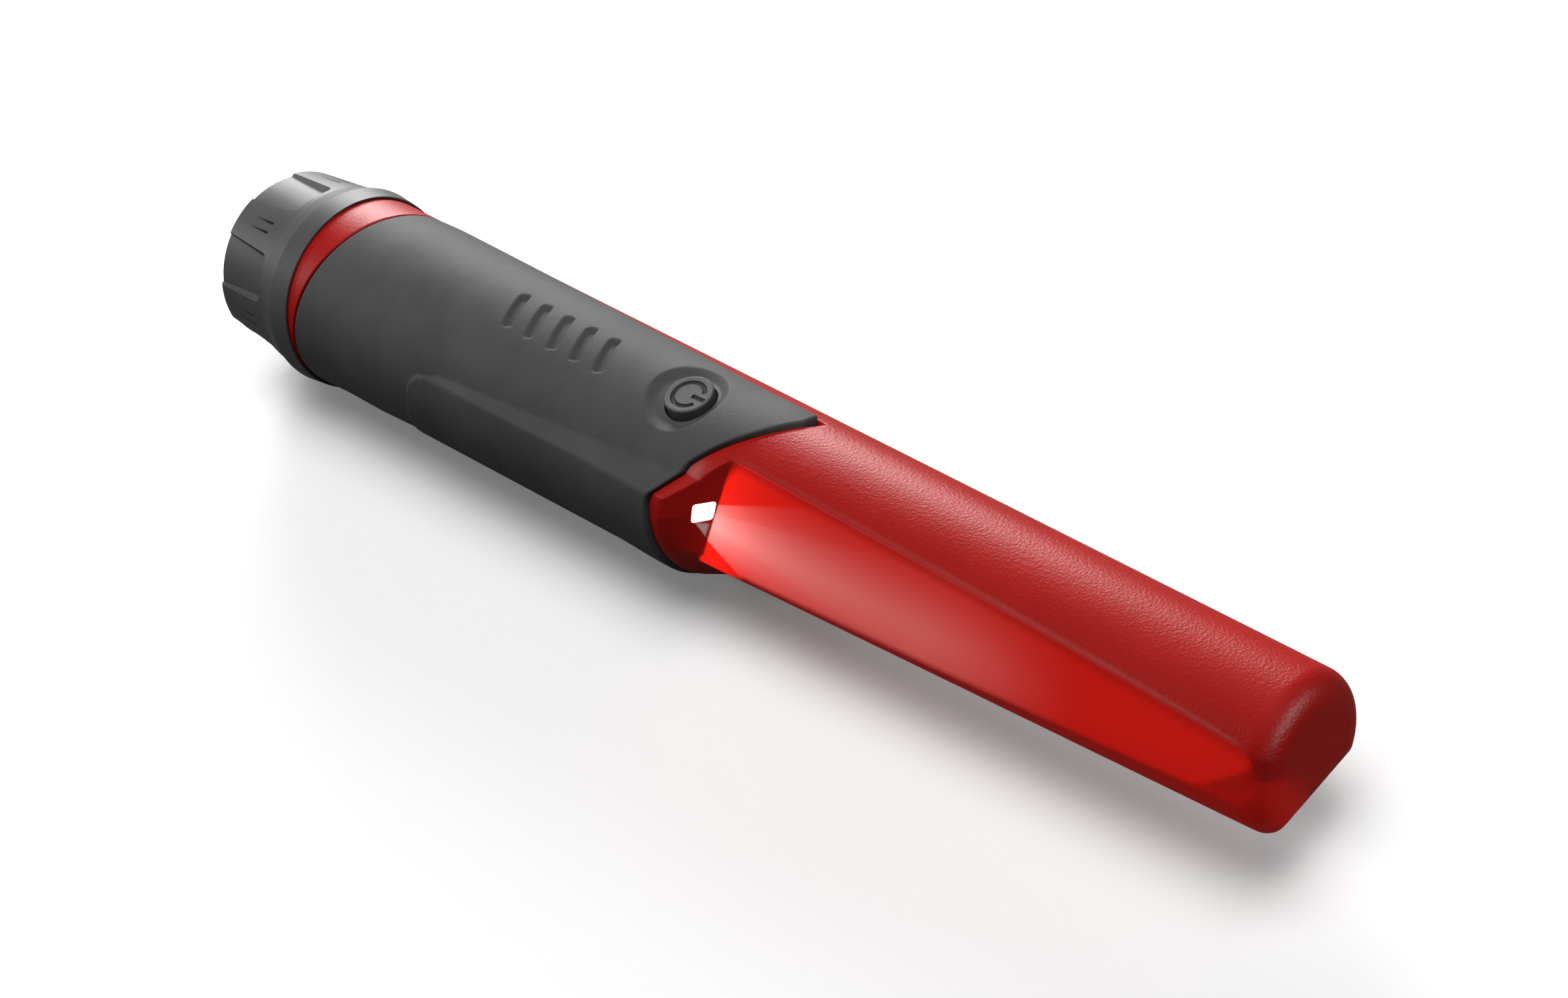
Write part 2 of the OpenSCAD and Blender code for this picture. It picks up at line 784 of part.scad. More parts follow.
// Bobbin with a neck that plugs into the carrier's front wall
module coil_bobbin() {
    tube_r = rod_r + run_fit + bobbin_wall;
    color(nylon) lifted() difference() {
        union() {
            rod_x(x_bobbin, x_bobbin_end, tube_r, tube_r);
            rod_x(x_bobbin, x_bobbin + bobbin_flange_t, bobbin_flange_r, bobbin_flange_r);
            rod_x(x_bobbin_end - bobbin_flange_t, x_bobbin_end, bobbin_flange_r, bobbin_flange_r);
            rod_x(x_front, x_bobbin + bobbin_flange_t, rod_r - 2 * run_fit, rod_r - 2 * run_fit);
        }
        rod_x(x_bobbin + bobbin_flange_t, x_bobbin_end + past, rod_r + run_fit, rod_r + run_fit);
    }
}

module search_winding() {
    tube_r = rod_r + run_fit + bobbin_wall;
    color(copper) lifted()
        ring_x(x_bobbin + bobbin_flange_t, x_bobbin_end - bobbin_flange_t, tube_r, tube_r + winding_t);
}

// Two wires from the bobbin back to the main board
module coil_leads() {
    color(copper) lifted() for (y = [-1, 1]) {
        translate([0, y * rod_r / 2, board_top + wire_r])
            rod_x(x_board_end - board_gap, x_bobbin, wire_r, wire_r);
    }
}

module tip_cushion() {
    color(charcoal) lifted() intersection() {
        cavity(slide_fit);
        box([x_bobbin_end, -far / 2, -far / 2], [cushion_t, far, far]);
    }
}

// Battery's case with rounded corners
module battery_block() {
    w = battery_w / 2 - battery_round;
    d = battery_d / 2 - battery_round;
    color("slategray") lifted() translate([x_battery, 0, 0]) rotate([0, 90, 0])
        linear_extrude(battery_l) {
            square([2 * d, battery_w], center = true);
            square([battery_d, 2 * w], center = true);
            for (i = [-1, 1]) {
                for (j = [-1, 1]) {
                    translate([i * d, j * w]) circle(battery_round);
                }
            }
        }
}

module battery_terminals() {
    color(metal) lifted() {
        translate([0, terminal_pitch / 2, 0]) rod_x(x_terminal, x_leaf, stud_r, stud_r);
        translate([0, -terminal_pitch / 2, 0]) rod_x(x_terminal, x_leaf, socket_r, socket_r);
    }
}

module contact_plate() {
    color(board_green) lifted() rod_x(x_plate, x_flange, plate_r, plate_r);
}

// Bent leaves that the battery's terminals press on
module contact_leaves() {
    color("gold") lifted() for (y = [-1, 1]) {
        translate([0, y * terminal_pitch / 2 - leaf_w / 2, 0]) {
            box([x_plate - leaf_t, 0, 0], [leaf_t, leaf_w, leaf_w]);
            box([x_leaf, 0, 0], [leaf_h, leaf_w, leaf_t]);
            box([x_leaf, 0, -leaf_w / 2], [leaf_t, leaf_w, leaf_w / 2 + leaf_t]);
        }
    }
}

// Two wires from the contact plate to the main board
module battery_leads() {
    color("firebrick") lifted() for (y = [-1, 1]) {
        translate([0, y * terminal_pitch / 4, board_top + wire_r])
            rod_x(x_flange, x_board + board_gap / 2, wire_r, wire_r);
    }
}

// Button face, its plunger and the flange that keeps it in the shell
module button_key() {
    color(dark_grey) lifted() translate([x_button, 0, 0]) difference() {
        union() {
            translate([0, 0, stem_top]) cylinder(h = key_flange_t, r = key_flange_r);
            translate([0, 0, stem_top]) cylinder(h = key_top - key_edge - stem_top, r = button_r);
            translate([0, 0, key_top - key_edge])
                cylinder(h = key_edge, r1 = button_r, r2 = button_r - key_edge);
        }
        translate([0, 0, seal_z]) difference() {
            cylinder(h = key_seal_w, r = far);
            translate([0, 0, -past]) cylinder(h = key_seal_w + 2 * past, r = button_r - key_seal_w);
        }
    }
}

// Ring in the plunger's groove that keeps water out
module button_seal() {
    color("black") lifted() translate([x_button, 0, seal_z]) difference() {
        cylinder(h = key_seal_w, r = seal_r);
        translate([0, 0, -past]) cylinder(h = key_seal_w + 2 * past, r = button_r - key_seal_w);
    }
}

module switch_stem() {
    color("ivory") lifted() translate([x_button, 0, switch_top - stem_depth])
        cylinder(h = stem_top - switch_top + stem_depth, r = stem_r);
}

module motor_shaft() {
    color(metal) lifted() translate([0, 0, motor_z])
        rod_x(x_motor + motor_l - shaft_grip, x_weight + weight_l, shaft_r, shaft_r);
}

// Half-round weight that shakes the handle as it spins
module motor_weight() {
    hub_r = 2 * shaft_r;
    color(metal) lifted() translate([0, 0, motor_z]) difference() {
        union() {
            rod_x(x_weight, x_weight + weight_l, hub_r, hub_r);
            difference() {
                rod_x(x_weight, x_weight + weight_l, weight_r, weight_r);
                box([x_weight - past, -far / 2, 0], [weight_l + 2 * past, far, far]);
            }
        }
        rod_x(x_weight - past, x_weight + weight_l + past, shaft_r, shaft_r);
    }
}

// Plate that turns in the cap, so that the cap doesn't twist the battery
module swivel_plate() {
    color(nylon) lifted() {
        rod_x(x_swivel, x_foam, carrier_r, carrier_r);
        rod_x(x_floor - pivot_l, x_swivel, pivot_r, pivot_r);
    }
}

module battery_foam() {
    color("dimgrey") lifted() rod_x(x_foam, x_foam + foam_t, carrier_r, carrier_r);
}

// Profile of the cap's head, inset from its surface, as radius against length
module cap_profile(inset) {
    polygon([[0, 0], [cap_end_r - cap_edge - inset, 0], [cap_end_r - inset, cap_edge],
             [cap_lug_r - inset, lug_l], [cap_lug_r, lug_l], [cap_flange_r, lug_l + cap_edge],
             [cap_flange_r, cap_head_l], [0, cap_head_l]]);
}

module cap_head(inset) {
    translate([x_rear, 0, 0]) rotate([0, 90, 0]) rotate_extrude() cap_profile(inset);
}

// Panels cut between the lugs
module cap_panels() {
    difference() {
        for (i = [0 : lug_count - 1]) {
            rotate([lug_dir + (i + 0.5) * 360 / lug_count, 0, 0]) translate([x_rear, 0, 0])
                linear_extrude(far) polygon([[-past, -panel_end_w], [-past, panel_end_w],
                                             [lug_l, panel_front_w], [lug_l, -panel_front_w]]);
        }
        cap_head(panel_depth);
    }
}

// Wedge notch in the middle of each lug, deepest at its front
module cap_notches() {
    slope = atan((cap_lug_r - cap_end_r) / lug_l) - atan(notch_depth / notch_l);
    notch_r = cap_lug_r - (cap_lug_r - cap_end_r) * notch_l / lug_l;
    for (i = [0 : lug_count - 1]) {
        rotate([lug_dir + i * 360 / lug_count, 0, 0]) translate([x_rear + lug_l - notch_l, 0, notch_r])
            rotate([0, -slope, 0]) box([0, -notch_w / 2, 0], [notch_l, notch_w, far]);
    }
}

// Helical thread of the neck, swept as one closed ridge
module neck_thread() {
    steps = 32 * thread_turns;
    root_r = neck_r - neck_wall / 2;
    x0 = x_mouth + (neck_l - thread_lead * thread_turns) / 2;
    section = [[root_r, -thread_w / 2], [root_r, thread_w / 2],
               [thread_r, thread_w / 4], [thread_r, -thread_w / 4]];
    points = [for (i = [0 : steps], s = section)
        let (turn = 360 * thread_turns * i / steps, x = x0 + thread_lead * thread_turns * i / steps)
        [x + s[1], s[0] * cos(turn), s[0] * sin(turn)]];
    sides = [for (i = [0 : steps - 1], j = [0 : 3])
        let (a = 4 * i + j, b = 4 * i + (j + 1) % 4)
        each [[a, a + 4, b], [b, a + 4, b + 4]]];
    last = 4 * steps;
    ends = [[0, 1, 2], [0, 2, 3], [last, last + 2, last + 1], [last, last + 3, last + 2]];
    polyhedron(points = points, faces = concat(sides, ends));
}

// Screw cap over the battery
module end_cap() {
    color(dark_grey) lifted() difference() {
        union() {
            cap_head(0);
            rod_x(x_mouth - past, x_mouth + neck_l, neck_r, neck_r);
            neck_thread();
        }
        cap_panels();
        cap_notches();
        rod_x(x_floor, x_mouth + neck_l + past, compartment_r, compartment_r);
        rod_x(x_floor - pivot_l - face_gap, x_floor + past, pivot_r + run_fit, pivot_r + run_fit);
        ring_x(x_mouth - seal_t + face_gap / 2, x_mouth + past, mouth_r, mouth_r + seal_w);
    }
}

// Flat seal between the cap and the end of the shell
module cap_seal() {
    color("black") lifted()
        ring_x(x_mouth - seal_t + face_gap / 2, x_mouth + face_gap / 2, mouth_r, mouth_r + seal_w);
}

probe_shell();
grip_sleeve();
lamp_window();
lamp_led();
lamp_board();
lamp_leads();
board_carrier();
snap_ring();
main_board();
board_screws();
board_chips();
filter_capacitors();
switch_body();
sounder();
motor_can();
ferrite_rod();
coil_bobbin();
search_winding();
coil_leads();
tip_cushion();
battery_block();
battery_terminals();
contact_plate();
contact_leaves();
battery_leads();
button_key();
button_seal();
switch_stem();
motor_shaft();
motor_weight();
swivel_plate();
battery_foam();
end_cap();
cap_seal();
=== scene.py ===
import json
import math

import bpy
import numpy as np
from mathutils import Matrix, Vector


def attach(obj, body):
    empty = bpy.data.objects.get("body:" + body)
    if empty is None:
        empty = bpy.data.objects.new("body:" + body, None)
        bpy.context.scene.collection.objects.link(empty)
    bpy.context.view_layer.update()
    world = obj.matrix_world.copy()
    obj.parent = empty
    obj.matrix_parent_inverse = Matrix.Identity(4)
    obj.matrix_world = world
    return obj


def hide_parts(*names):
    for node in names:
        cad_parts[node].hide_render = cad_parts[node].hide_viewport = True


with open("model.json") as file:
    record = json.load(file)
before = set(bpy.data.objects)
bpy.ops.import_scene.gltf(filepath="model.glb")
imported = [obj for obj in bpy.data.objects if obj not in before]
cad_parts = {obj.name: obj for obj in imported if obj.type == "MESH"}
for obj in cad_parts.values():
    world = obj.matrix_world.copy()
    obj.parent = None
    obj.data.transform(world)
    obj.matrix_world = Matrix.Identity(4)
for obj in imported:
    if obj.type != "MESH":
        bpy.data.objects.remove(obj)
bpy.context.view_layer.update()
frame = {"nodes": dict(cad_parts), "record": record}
print("frame loaded:", len(frame["nodes"]), "nodes")

scene = bpy.context.scene
scene.view_settings.view_transform = "Standard"
mm = 0.001
axisHeight = 20.15  # the probe's axis above the floor, mm
turn = 2 * math.pi
nearBy = 0.01  # places this close count as the same, mm


# small helpers

def clearPick():
    if bpy.context.mode != "OBJECT":
        bpy.ops.object.mode_set(mode="OBJECT")
    bpy.ops.object.select_all(action="DESELECT")


def pick(piece):
    clearPick()
    piece.select_set(True)
    bpy.context.view_layer.objects.active = piece


def editAll(piece):
    pick(piece)
    bpy.ops.object.mode_set(mode="EDIT")
    bpy.ops.mesh.select_all(action="SELECT")


def joinInto(piece, others):
    clearPick()
    for other in others:
        other.select_set(True)
    piece.select_set(True)
    bpy.context.view_layer.objects.active = piece
    bpy.ops.object.join()


def justAdded(name):  # the newest primitive, named
    piece = bpy.context.object
    piece.name = name
    piece.data.name = name
    return piece


def applyPlace(piece):
    pick(piece)
    bpy.ops.object.transform_apply(location=True, rotation=True, scale=True)


def finishModifier(piece, modifier):
    pick(piece)
    bpy.ops.object.modifier_apply(modifier=modifier.name)


def carve(piece, cutter):
    modifier = piece.modifiers.new("carve", "BOOLEAN")
    modifier.operation = "DIFFERENCE"
    modifier.object = cutter
    modifier.solver = "EXACT"
    finishModifier(piece, modifier)
    bpy.data.objects.remove(cutter)


def smoothShade(piece, degrees):
    pick(piece)
    bpy.ops.object.shade_smooth_by_angle(angle=math.radians(degrees))


def closeUp(piece, fill=False):  # merge seams, fill open ends and face everything outwards
    editAll(piece)
    bpy.ops.mesh.remove_doubles(threshold=1e-6)
    if fill:
        bpy.ops.mesh.fill_holes(sides=0)
    bpy.ops.mesh.normals_make_consistent(inside=False)
    bpy.ops.object.mode_set(mode="OBJECT")


def selectVerts(piece, test):  # test takes vertex places in mm and gives a mask
    pick(piece)
    mesh = piece.data
    places = np.empty(len(mesh.vertices) * 3)
    mesh.vertices.foreach_get("co", places)
    chosen = test(places.reshape(-1, 3) / mm)
    mesh.vertices.foreach_set("select", chosen)
    ends = np.empty(len(mesh.edges) * 2, dtype=int)
    mesh.edges.foreach_get("vertices", ends)
    mesh.edges.foreach_set("select", chosen[ends.reshape(-1, 2)].all(axis=1))
    mesh.polygons.foreach_set("select", np.zeros(len(mesh.polygons), dtype=bool))
    scene.tool_settings.mesh_select_mode = (True, False, False)
    bpy.ops.object.mode_set(mode="EDIT")


def bevelEdges(piece, test, width, segments):  # test takes an edge's two ends
    editAll(piece)
    bpy.ops.mesh.select_all(action="DESELECT")
    bpy.ops.object.mode_set(mode="OBJECT")
    for edge in piece.data.edges:
        edge.select = bool(test(*(piece.data.vertices[i].co for i in edge.vertices)))
    scene.tool_settings.mesh_select_mode = (False, True, False)
    bpy.ops.object.mode_set(mode="EDIT")
    bpy.ops.mesh.bevel(offset=width * mm, segments=segments, affect="EDGES")
    bpy.ops.object.mode_set(mode="OBJECT")


def sheet(name, acrossLines, alongLines, place):  # grid primitive laid onto a surface
    clearPick()
    across, along = len(acrossLines), len(alongLines)
    bpy.ops.mesh.primitive_grid_add(x_subdivisions=across - 1, y_subdivisions=along - 1, size=2)
    piece = justAdded(name)
    flat = np.empty(len(piece.data.vertices) * 3)
    piece.data.vertices.foreach_get("co", flat)
    flat = flat.reshape(-1, 3)
    column = np.rint((flat[:, 0] + 1) / 2 * (across - 1)).astype(int)
    row = np.rint((flat[:, 1] + 1) / 2 * (along - 1)).astype(int)
    s, t = np.asarray(acrossLines)[column], np.asarray(alongLines)[row]
    places, marks = place(s, t)
    for mark, values in marks.items():
        layer = piece.data.attributes.new(mark, "FLOAT", "POINT")
        layer.data.foreach_set("value", np.asarray(values, dtype=np.float32))
    piece.data.vertices.foreach_set("co", (places * mm).ravel())
    piece.data.update()
    return piece


def polarPlace(x, psi, r):
    return np.stack([x, -r * np.sin(psi), axisHeight + r * np.cos(psi)], axis=1)


def lathe(name, stations, segments, axis, centre):  # rings extruded and scaled along an axis
    clearPick()
    turned = (0, math.pi / 2, 0) if axis == "X" else (0, 0, 0)
    first = stations[0]
    spot = Vector(centre)
    step = Vector((1, 0, 0)) if axis == "X" else Vector((0, 0, 1))
    bpy.ops.mesh.primitive_circle_add(vertices=segments, radius=first[1] * mm, fill_type="NOTHING",
                                      location=(spot + step * first[0]) * mm, rotation=turned)
    piece = justAdded(name)
    applyPlace(piece)
    editAll(piece)
    for before, after in zip(stations, stations[1:]):
        bpy.ops.mesh.extrude_region_move(
            TRANSFORM_OT_translate={"value": step * ((after[0] - before[0]) * mm)})
        ratio = after[1] / before[1]
        bpy.ops.transform.resize(value=(1, ratio, ratio) if axis == "X" else (ratio, ratio, 1),
                                 center_override=(spot + step * after[0]) * mm)
    bpy.ops.object.mode_set(mode="OBJECT")
    return piece


def fillRing(piece, test):  # close an open ring, with a margin that keeps the rim's shading
    selectVerts(piece, test)
    bpy.ops.mesh.edge_face_add()
    bpy.ops.mesh.inset(thickness=0.4 * mm, depth=0)
    bpy.ops.object.mode_set(mode="OBJECT")


def inDisc(place, x, radius):  # vertices at one x and within a radius of the axis
    out = np.hypot(place[:, 1], place[:, 2] - axisHeight)
    return (np.abs(place[:, 0] - x) < nearBy) & (out < radius)


# the body's form, shared by the shell and the grip; lengths in mm, angles from +Z towards -Y

body = {
    "rearX": -102, "tipX": 124.2, "rearRadius": 19.16, "tipRadius": 13.3, "tipRound": 4.4,
    "swellRadius": 18.7, "swellStart": -66.2, "swellStep": 1.0, "swellSink": 0.3,
    "swellCorner": 7, "crestArc": 19.3, "crestRun": 1.5, "tailSlope": 0.37, "tailReach": 4,
    "fallStart": 10.2, "fallSlope": 0.31,
    "swellFacets": ((27, 15.7, 0.14), (-80, 15.7, 0.6), (-26.5, 7.85, 1.0), (180, 17.6, 0.4)),
    "rampX": 4.2, "rampLean": 38.2, "rampFacing": 71.6, "rampReach": 18.17, "rampStart": 4.03,
    "shoulderTurn": 0.95, "shoulderSpan": 6, "footEnd": 97,
    "rampEnd": 75, "rampEndSpan": 30, "rampEndRise": 12,
    "flatFacing": 61, "flatDistance": 12.9, "bevelFacing": 120, "bevelCut": 0.4,
    "underX": 22.2, "underNear": 15.6, "underTip": 8.9, "underRise": 0.5,
    "buttonX": -2.5,
    "soft": {"fall": 0.6, "swell": 0.05, "rampFoot": 0.2, "crease": 0.12, "lowCrease": 0.72,
             "bevelFoot": 0.4, "bevel": 0.5, "under": 0.6},  # how softly two faces meet
}


def softMin(a, b, soft):
    near = np.maximum(soft - np.abs(a - b), 0)
    return np.minimum(a, b) - near * near / (4 * soft)


def softMax(a, b, soft):
    return -softMin(-a, -b, soft)


def ease(value):
    value = np.clip(value, 0, 1)
    return value * value * (3 - 2 * value)


def rise(value, start, run):  # 0 up to start, then 1 after the run
    return ease((value - start) / run)


def fall(value, end, run):  # 1 until a run before the end, then 0
    return ease((end - value) / run)


def facetRadius(distance, psi, facing):  # far off where the facet is only grazed
    grazed, farOff = 0.06, 1000.0
    lean = np.cos(psi - math.radians(facing))
    return np.where(lean > grazed, distance / np.maximum(lean, grazed), farOff)


def coneRadius(x):
    share = (x - body["rearX"]) / (body["tipX"] - body["rearX"])
    return body["rearRadius"] + (body["tipRadius"] - body["rearRadius"]) * share


def tipInset(x):
    radius = body["tipRound"]
    into = np.clip(x - body["tipX"] + radius, 0, radius)
    return radius - np.sqrt(np.maximum(radius * radius - into * into, 0))


def underDistance(x):  # flat under the probe
    slope = (body["underNear"] - body["underTip"]) / (body["tipX"] - body["underX"])
    return body["underNear"] - (x - body["underX"]) * slope


def rampRadius(x, psi):  # flat round the lamp, then a turned shoulder with a straight foot
    slope = math.tan(math.radians(body["rampLean"]))
    facing = math.radians(body["rampFacing"])
    plane = facetRadius(body["rampReach"] - (x - body["rampX"]) * slope, psi, body["rampFacing"])
    below = np.maximum(np.degrees(psi) - body["rampFacing"], 0)
    start = body["rampStart"] - body["shoulderTurn"] * (1 - np.exp(-below / body["shoulderSpan"]))
    within = np.clip(psi, facing, math.radians(body["footEnd"]))
    low = facetRadius(body["flatDistance"], within, body["flatFacing"])
    foot = body["rampX"] + (body["rampReach"] - low * np.cos(within - facing)) / slope
    high = body["rampReach"] + (body["rampX"] - body["rampStart"]) * slope
    turned = high - (x - start) * (high - low) / (foot - start)
    turned = turned + body["rampEndRise"] * rise(below, body["rampEnd"], body["rampEndSpan"])
    return np.where(below > 0, turned, plane)


def swellRear(psi):  # rear end of the swell, rounded off towards its crest
    arc, corner = psi * body["swellRadius"], body["swellCorner"]
    past = arc - body["crestArc"] - corner
    into = np.clip(-past, 0, corner)
    rear = corner - np.sqrt(corner * corner - into * into)
    rear = rear + body["crestRun"] * np.maximum(-past - corner, 0)
    return body["swellStart"] + rear - np.clip(body["tailSlope"] * past, 0, body["tailReach"])


def bodyRadius(x, psi):
    soft = body["soft"]
    inset = tipInset(x)
    cone = coneRadius(x) - inset
    swell = body["swellRadius"] + 0 * x
    swell = softMin(swell, swell - (x - body["fallStart"]) * body["fallSlope"], soft["fall"])
    for facing, distance, blend in body["swellFacets"]:
        swell = softMin(swell, facetRadius(distance, psi, facing), blend)
    sunk = cone - body["swellSink"]
    swell = sunk + (swell - sunk) * rise(x, swellRear(psi), body["swellStep"])
    form = softMax(cone, swell, soft["swell"])
    ramp = rampRadius(x, psi)
    flat = facetRadius(body["flatDistance"] - inset, psi, body["flatFacing"])
    crease = np.where(psi > math.radians(body["flatFacing"]), soft["lowCrease"], soft["crease"])
    form = softMin(form, softMax(ramp, flat, soft["rampFoot"]), crease)
    bevel = facetRadius(coneRadius(x) - body["bevelCut"] - inset, psi, body["bevelFacing"])
    form = softMin(form, softMax(ramp, bevel, soft["bevelFoot"]), soft["bevel"])
    under = underDistance(x) - inset + np.maximum(body["underX"] - x, 0) * body["underRise"]
    return softMin(form, facetRadius(under, psi, 180), soft["under"])


# where the rubber ends, and the lines that both sheets follow

edges = {
    "rearX": -96.4, "rearSlope": 0.2736, "rearFacing": -59, "rearReach": 19,
    "frontX": 8.5, "frontSlope": 0.82, "frontCurve": 0.0045, "frontFacing": -60,
    "frontLow": 0.45, "frontBlend": 0.8, "frontAslant": 0.86,
    "gap": 0.28, "gapRadius": 18, "tipGap": 2.0, "tipBlend": 0.4,
    "dip": 0.75, "dipStart": -0.1, "dipRise": 0.6, "dipEnd": math.radians(44.5), "dipFall": 0.14,
    "spineTop": (11.4, 13.15), "spineLow": (5.2, -6.0), "spineRun": 106.2,
    "shellRear": -101.9, "creaseStart": 13.5, "kinkMost": 57.5, "sideFacing": 60,
    "shellKnots": (0, 0.2, 0.5, 1, 2), "gripKnots": (0, 0.12, 0.29, 0.34, 1),
    "startX": (-50.0, 60.0), "rounds": 40,
}


def spineAngle(x, heights):
    height = heights[0] + (heights[1] - heights[0]) * (x - body["rearX"]) / edges["spineRun"]
    return -np.arccos(np.clip(height / coneRadius(x), -1, 1))


def frontEdge(psi, r):
    reach = r * np.cos(psi - math.radians(edges["frontFacing"]))
    lean = edges["frontX"] + edges["frontSlope"] * reach + edges["frontCurve"] * reach * reach
    dip = rise(psi, edges["dipStart"], edges["dipRise"])
    dip = dip * fall(psi, edges["dipEnd"], edges["dipFall"])  # ends where the swell's facet starts
    lean = softMax(lean - edges["dip"] * dip, edges["frontLow"] + 0 * lean, edges["frontBlend"])
    return np.where(psi < math.pi, lean, edges["frontLow"])


def rearEdge(psi):
    lean = np.cos(psi - math.radians(edges["rearFacing"]))
    return edges["rearX"] + edges["rearSlope"] * edges["rearReach"] * lean


tipX = 20.0  # where the rubber's front and upper edges meet
for attempt in range(edges["rounds"]):
    tipX = float(frontEdge(spineAngle(np.array(tipX), edges["spineTop"]), coneRadius(tipX)))


def upperEdge(x):
    return spineAngle(np.clip(x, body["rearX"], tipX), edges["spineTop"])


def lowerEdge(x):
    return spineAngle(np.clip(x, body["rearX"], body["rampX"]), edges["spineLow"]) + turn


def creaseAngle(x):  # between the probe's round top and its flat
    x = np.clip(x, edges["creaseStart"], body["tipX"])
    inset = tipInset(x)
    lean = np.arccos((body["flatDistance"] - inset) / (coneRadius(x) - inset))
    return math.radians(body["flatFacing"]) - lean


def kinkAngle(x):  # where the swell's upper facet leaves the round
    facing, distance = body["swellFacets"][0][:2]
    lean = np.arccos(np.clip(distance / coneRadius(x), -1, 1))
    return np.minimum(math.radians(facing) + lean, math.radians(edges["kinkMost"]))


def between(s, knots, angles):  # angles is a list of arrays, one for each knot
    psi = np.array(angles[0], dtype=float) + 0 * s
    for low, high, first, last in zip(knots, knots[1:], angles, angles[1:]):
        share = (s - low) / (high - low)
        psi = np.where(s > low, first + (last - first) * share, psi)
    return psi


def shellAround(s, x):
    crease = creaseAngle(x)
    foot = math.radians(2 * body["flatFacing"]) - crease
    return between(s, edges["shellKnots"],
                   (upperEdge(x), crease, foot, lowerEdge(x), upperEdge(x) + turn))


def gripAround(s, x):
    gap = edges["gap"] / edges["gapRadius"]
    side = math.radians(edges["sideFacing"]) + 0 * x
    return between(s, edges["gripKnots"],
                   (upperEdge(x) + gap, 0 * x, kinkAngle(x), side, lowerEdge(x) - gap))


def settle(s, t, around, gap=0.0):  # find x and angle for the sheet's own two coordinates
    x = np.where(t < 1, *edges["startX"]) + 0 * s
    psi = around(s, x)
    for attempt in range(edges["rounds"]):
        r = bodyRadius(x, psi)
        front = np.where(s <= 1, frontEdge(psi, r),
                         edges["frontLow"] + (tipX - edges["frontLow"]) * (s - 1))
        rear = rearEdge(psi) + gap
        if gap:
            tip = tipX - edges["tipGap"] + 0 * front
            front = softMin(front - gap, tip, edges["tipBlend"])
        onRing = edges["shellRear"] + (rear - edges["shellRear"]) * (t + 1)
        onGrip = rear + (front - rear) * t
        onProbe = front + (body["tipX"] - front) * (t - 1)
        x = np.where(t < 0, onRing, np.where(t < 1, onGrip, onProbe))
        psi = around(s, x)
    return x, psi, front, rear


def lines(runs, *others):  # runs of (start, end, count), and single lines
    places = [np.linspace(*run) for run in runs] + list(others)
    return np.unique(np.round(np.concatenate(places), 7))


def rounded(distance, radius):  # drop of a rounded edge at a distance from the edge
    into = np.clip(radius - distance, 0, radius)
    return radius - np.sqrt(np.maximum(radius * radius - into * into, 0))


# painted light on the shell, as emission: the lamp's beam on the flat and ramp, a painted glint along the
# crease, a painted sheen on the collar and painted bounce light below the flat and at the tip; pairs are
# for rise and fall

paintedLightShape = {
    "offFlat": (0.75, 0.6), "topSoft": 0.12, "topShade": 0.5, "topWidth": 2,
    "start": (8.2, 0.4), "footSoft": 0.22,
    "tongue": (119.5, 1.05, 0.06), "tongueSoft": 1.8, "tongueRest": 0.3,
    "paintedRedLight": 0.27, "nearGlow": 0.33, "nearX": (13, 18), "nearLength": 10,
    "window": (9.5, 1), "windowNear": 0.5, "glowSide": (2.0, 0.9),
    "fanX": 14, "fanAcross": -3.2, "fanUp": (4.3, 0.03), "fanDown": (3.6, 0.09),
    "fanFade": 0.69, "fanPower": 1.7,
    "source": (1, -3), "rayTop": (0.375, 0.03), "rayFoot": (-0.41, 0.03),
    "upperRay": (0.2, 0.02), "upperDim": 0.18, "lowerRay": (-0.12, 0.03), "lowerDim": 0.1,
    "paintedPaleLight": 0.06, "farHaze": (0.11, 30), "nearHaze": (0.16, 6), "hazeX": (12, 14), "hazeEnd": (56, 36),
    "veil": 0.17, "veilTop": 0.95, "veilSlope": 1.52, "veilStart": 5.15, "veilSoft": (0.3, 0.6),
    "veilFrom": 4.4, "veilTo": 12, "veilOff": (0.1, 0.3), "veilRadius": 19, "veilEnd": 2,
    "line": (0.008, 0.015), "lineGrow": (15, 70), "lineAside": 0.6, "lineWidth": 0.3,
    "lineStart": (13.5, 2), "lineEnd": (120, 3), "lineSide": (0, 1),
    "sheen": 0.045, "sheenStart": (0.42, 0.3), "sheenEnd": (0.765, 0.03), "sheenX": (9.6, 1.5),
    "sheenFoot": (15.6, 0.3), "sheenTop": 17,
    # painted bounce light below the flat and at the tip
    "fill": 0.105, "fillTop": (1, 2.5), "fillX": (12, 10), "fillEnd": (math.radians(165), 0.6),
    "fillFrom": 0.5, "paintedTipFill": 0.065, "tipWidth": 1.2,
}


def litFlat(x, psi, across, away, half):  # how much of the flat lies in the beam
    beam = paintedLightShape
    lit = fall(away, *beam["offFlat"]) * rise(x, *beam["start"])
    lit = lit * fall(across, half + beam["topSoft"], beam["topSoft"])
    lit = lit * (1 - beam["topShade"] + beam["topShade"] * fall(across, half, beam["topWidth"]))
    flat = facetRadius(body["flatDistance"], psi, body["flatFacing"])
    lit = lit * rise(flat - rampRadius(x, psi), 0, beam["footSoft"])
    reach, slope, bend = beam["tongue"]
    tongue = reach + slope * across - bend * across * across + beam["tongueSoft"] / 2
    return lit * (beam["tongueRest"] + (1 - beam["tongueRest"]) * fall(x, tongue, beam["tongueSoft"]))


def paintedRedGlow(x, across):
    # painted red light of the lamp's beam on the flat, brightest near the window
    beam = paintedLightShape
    windowX, windowAcross = beam["window"]
    aside = (across - windowAcross) / np.maximum(x - windowX, beam["windowNear"])
    flatTo, nearX = beam["nearX"]
    near = beam["nearGlow"] * np.exp((nearX - np.maximum(x, flatTo)) / beam["nearLength"])
    return (beam["paintedRedLight"] + near) * fall(aside, *beam["glowSide"])


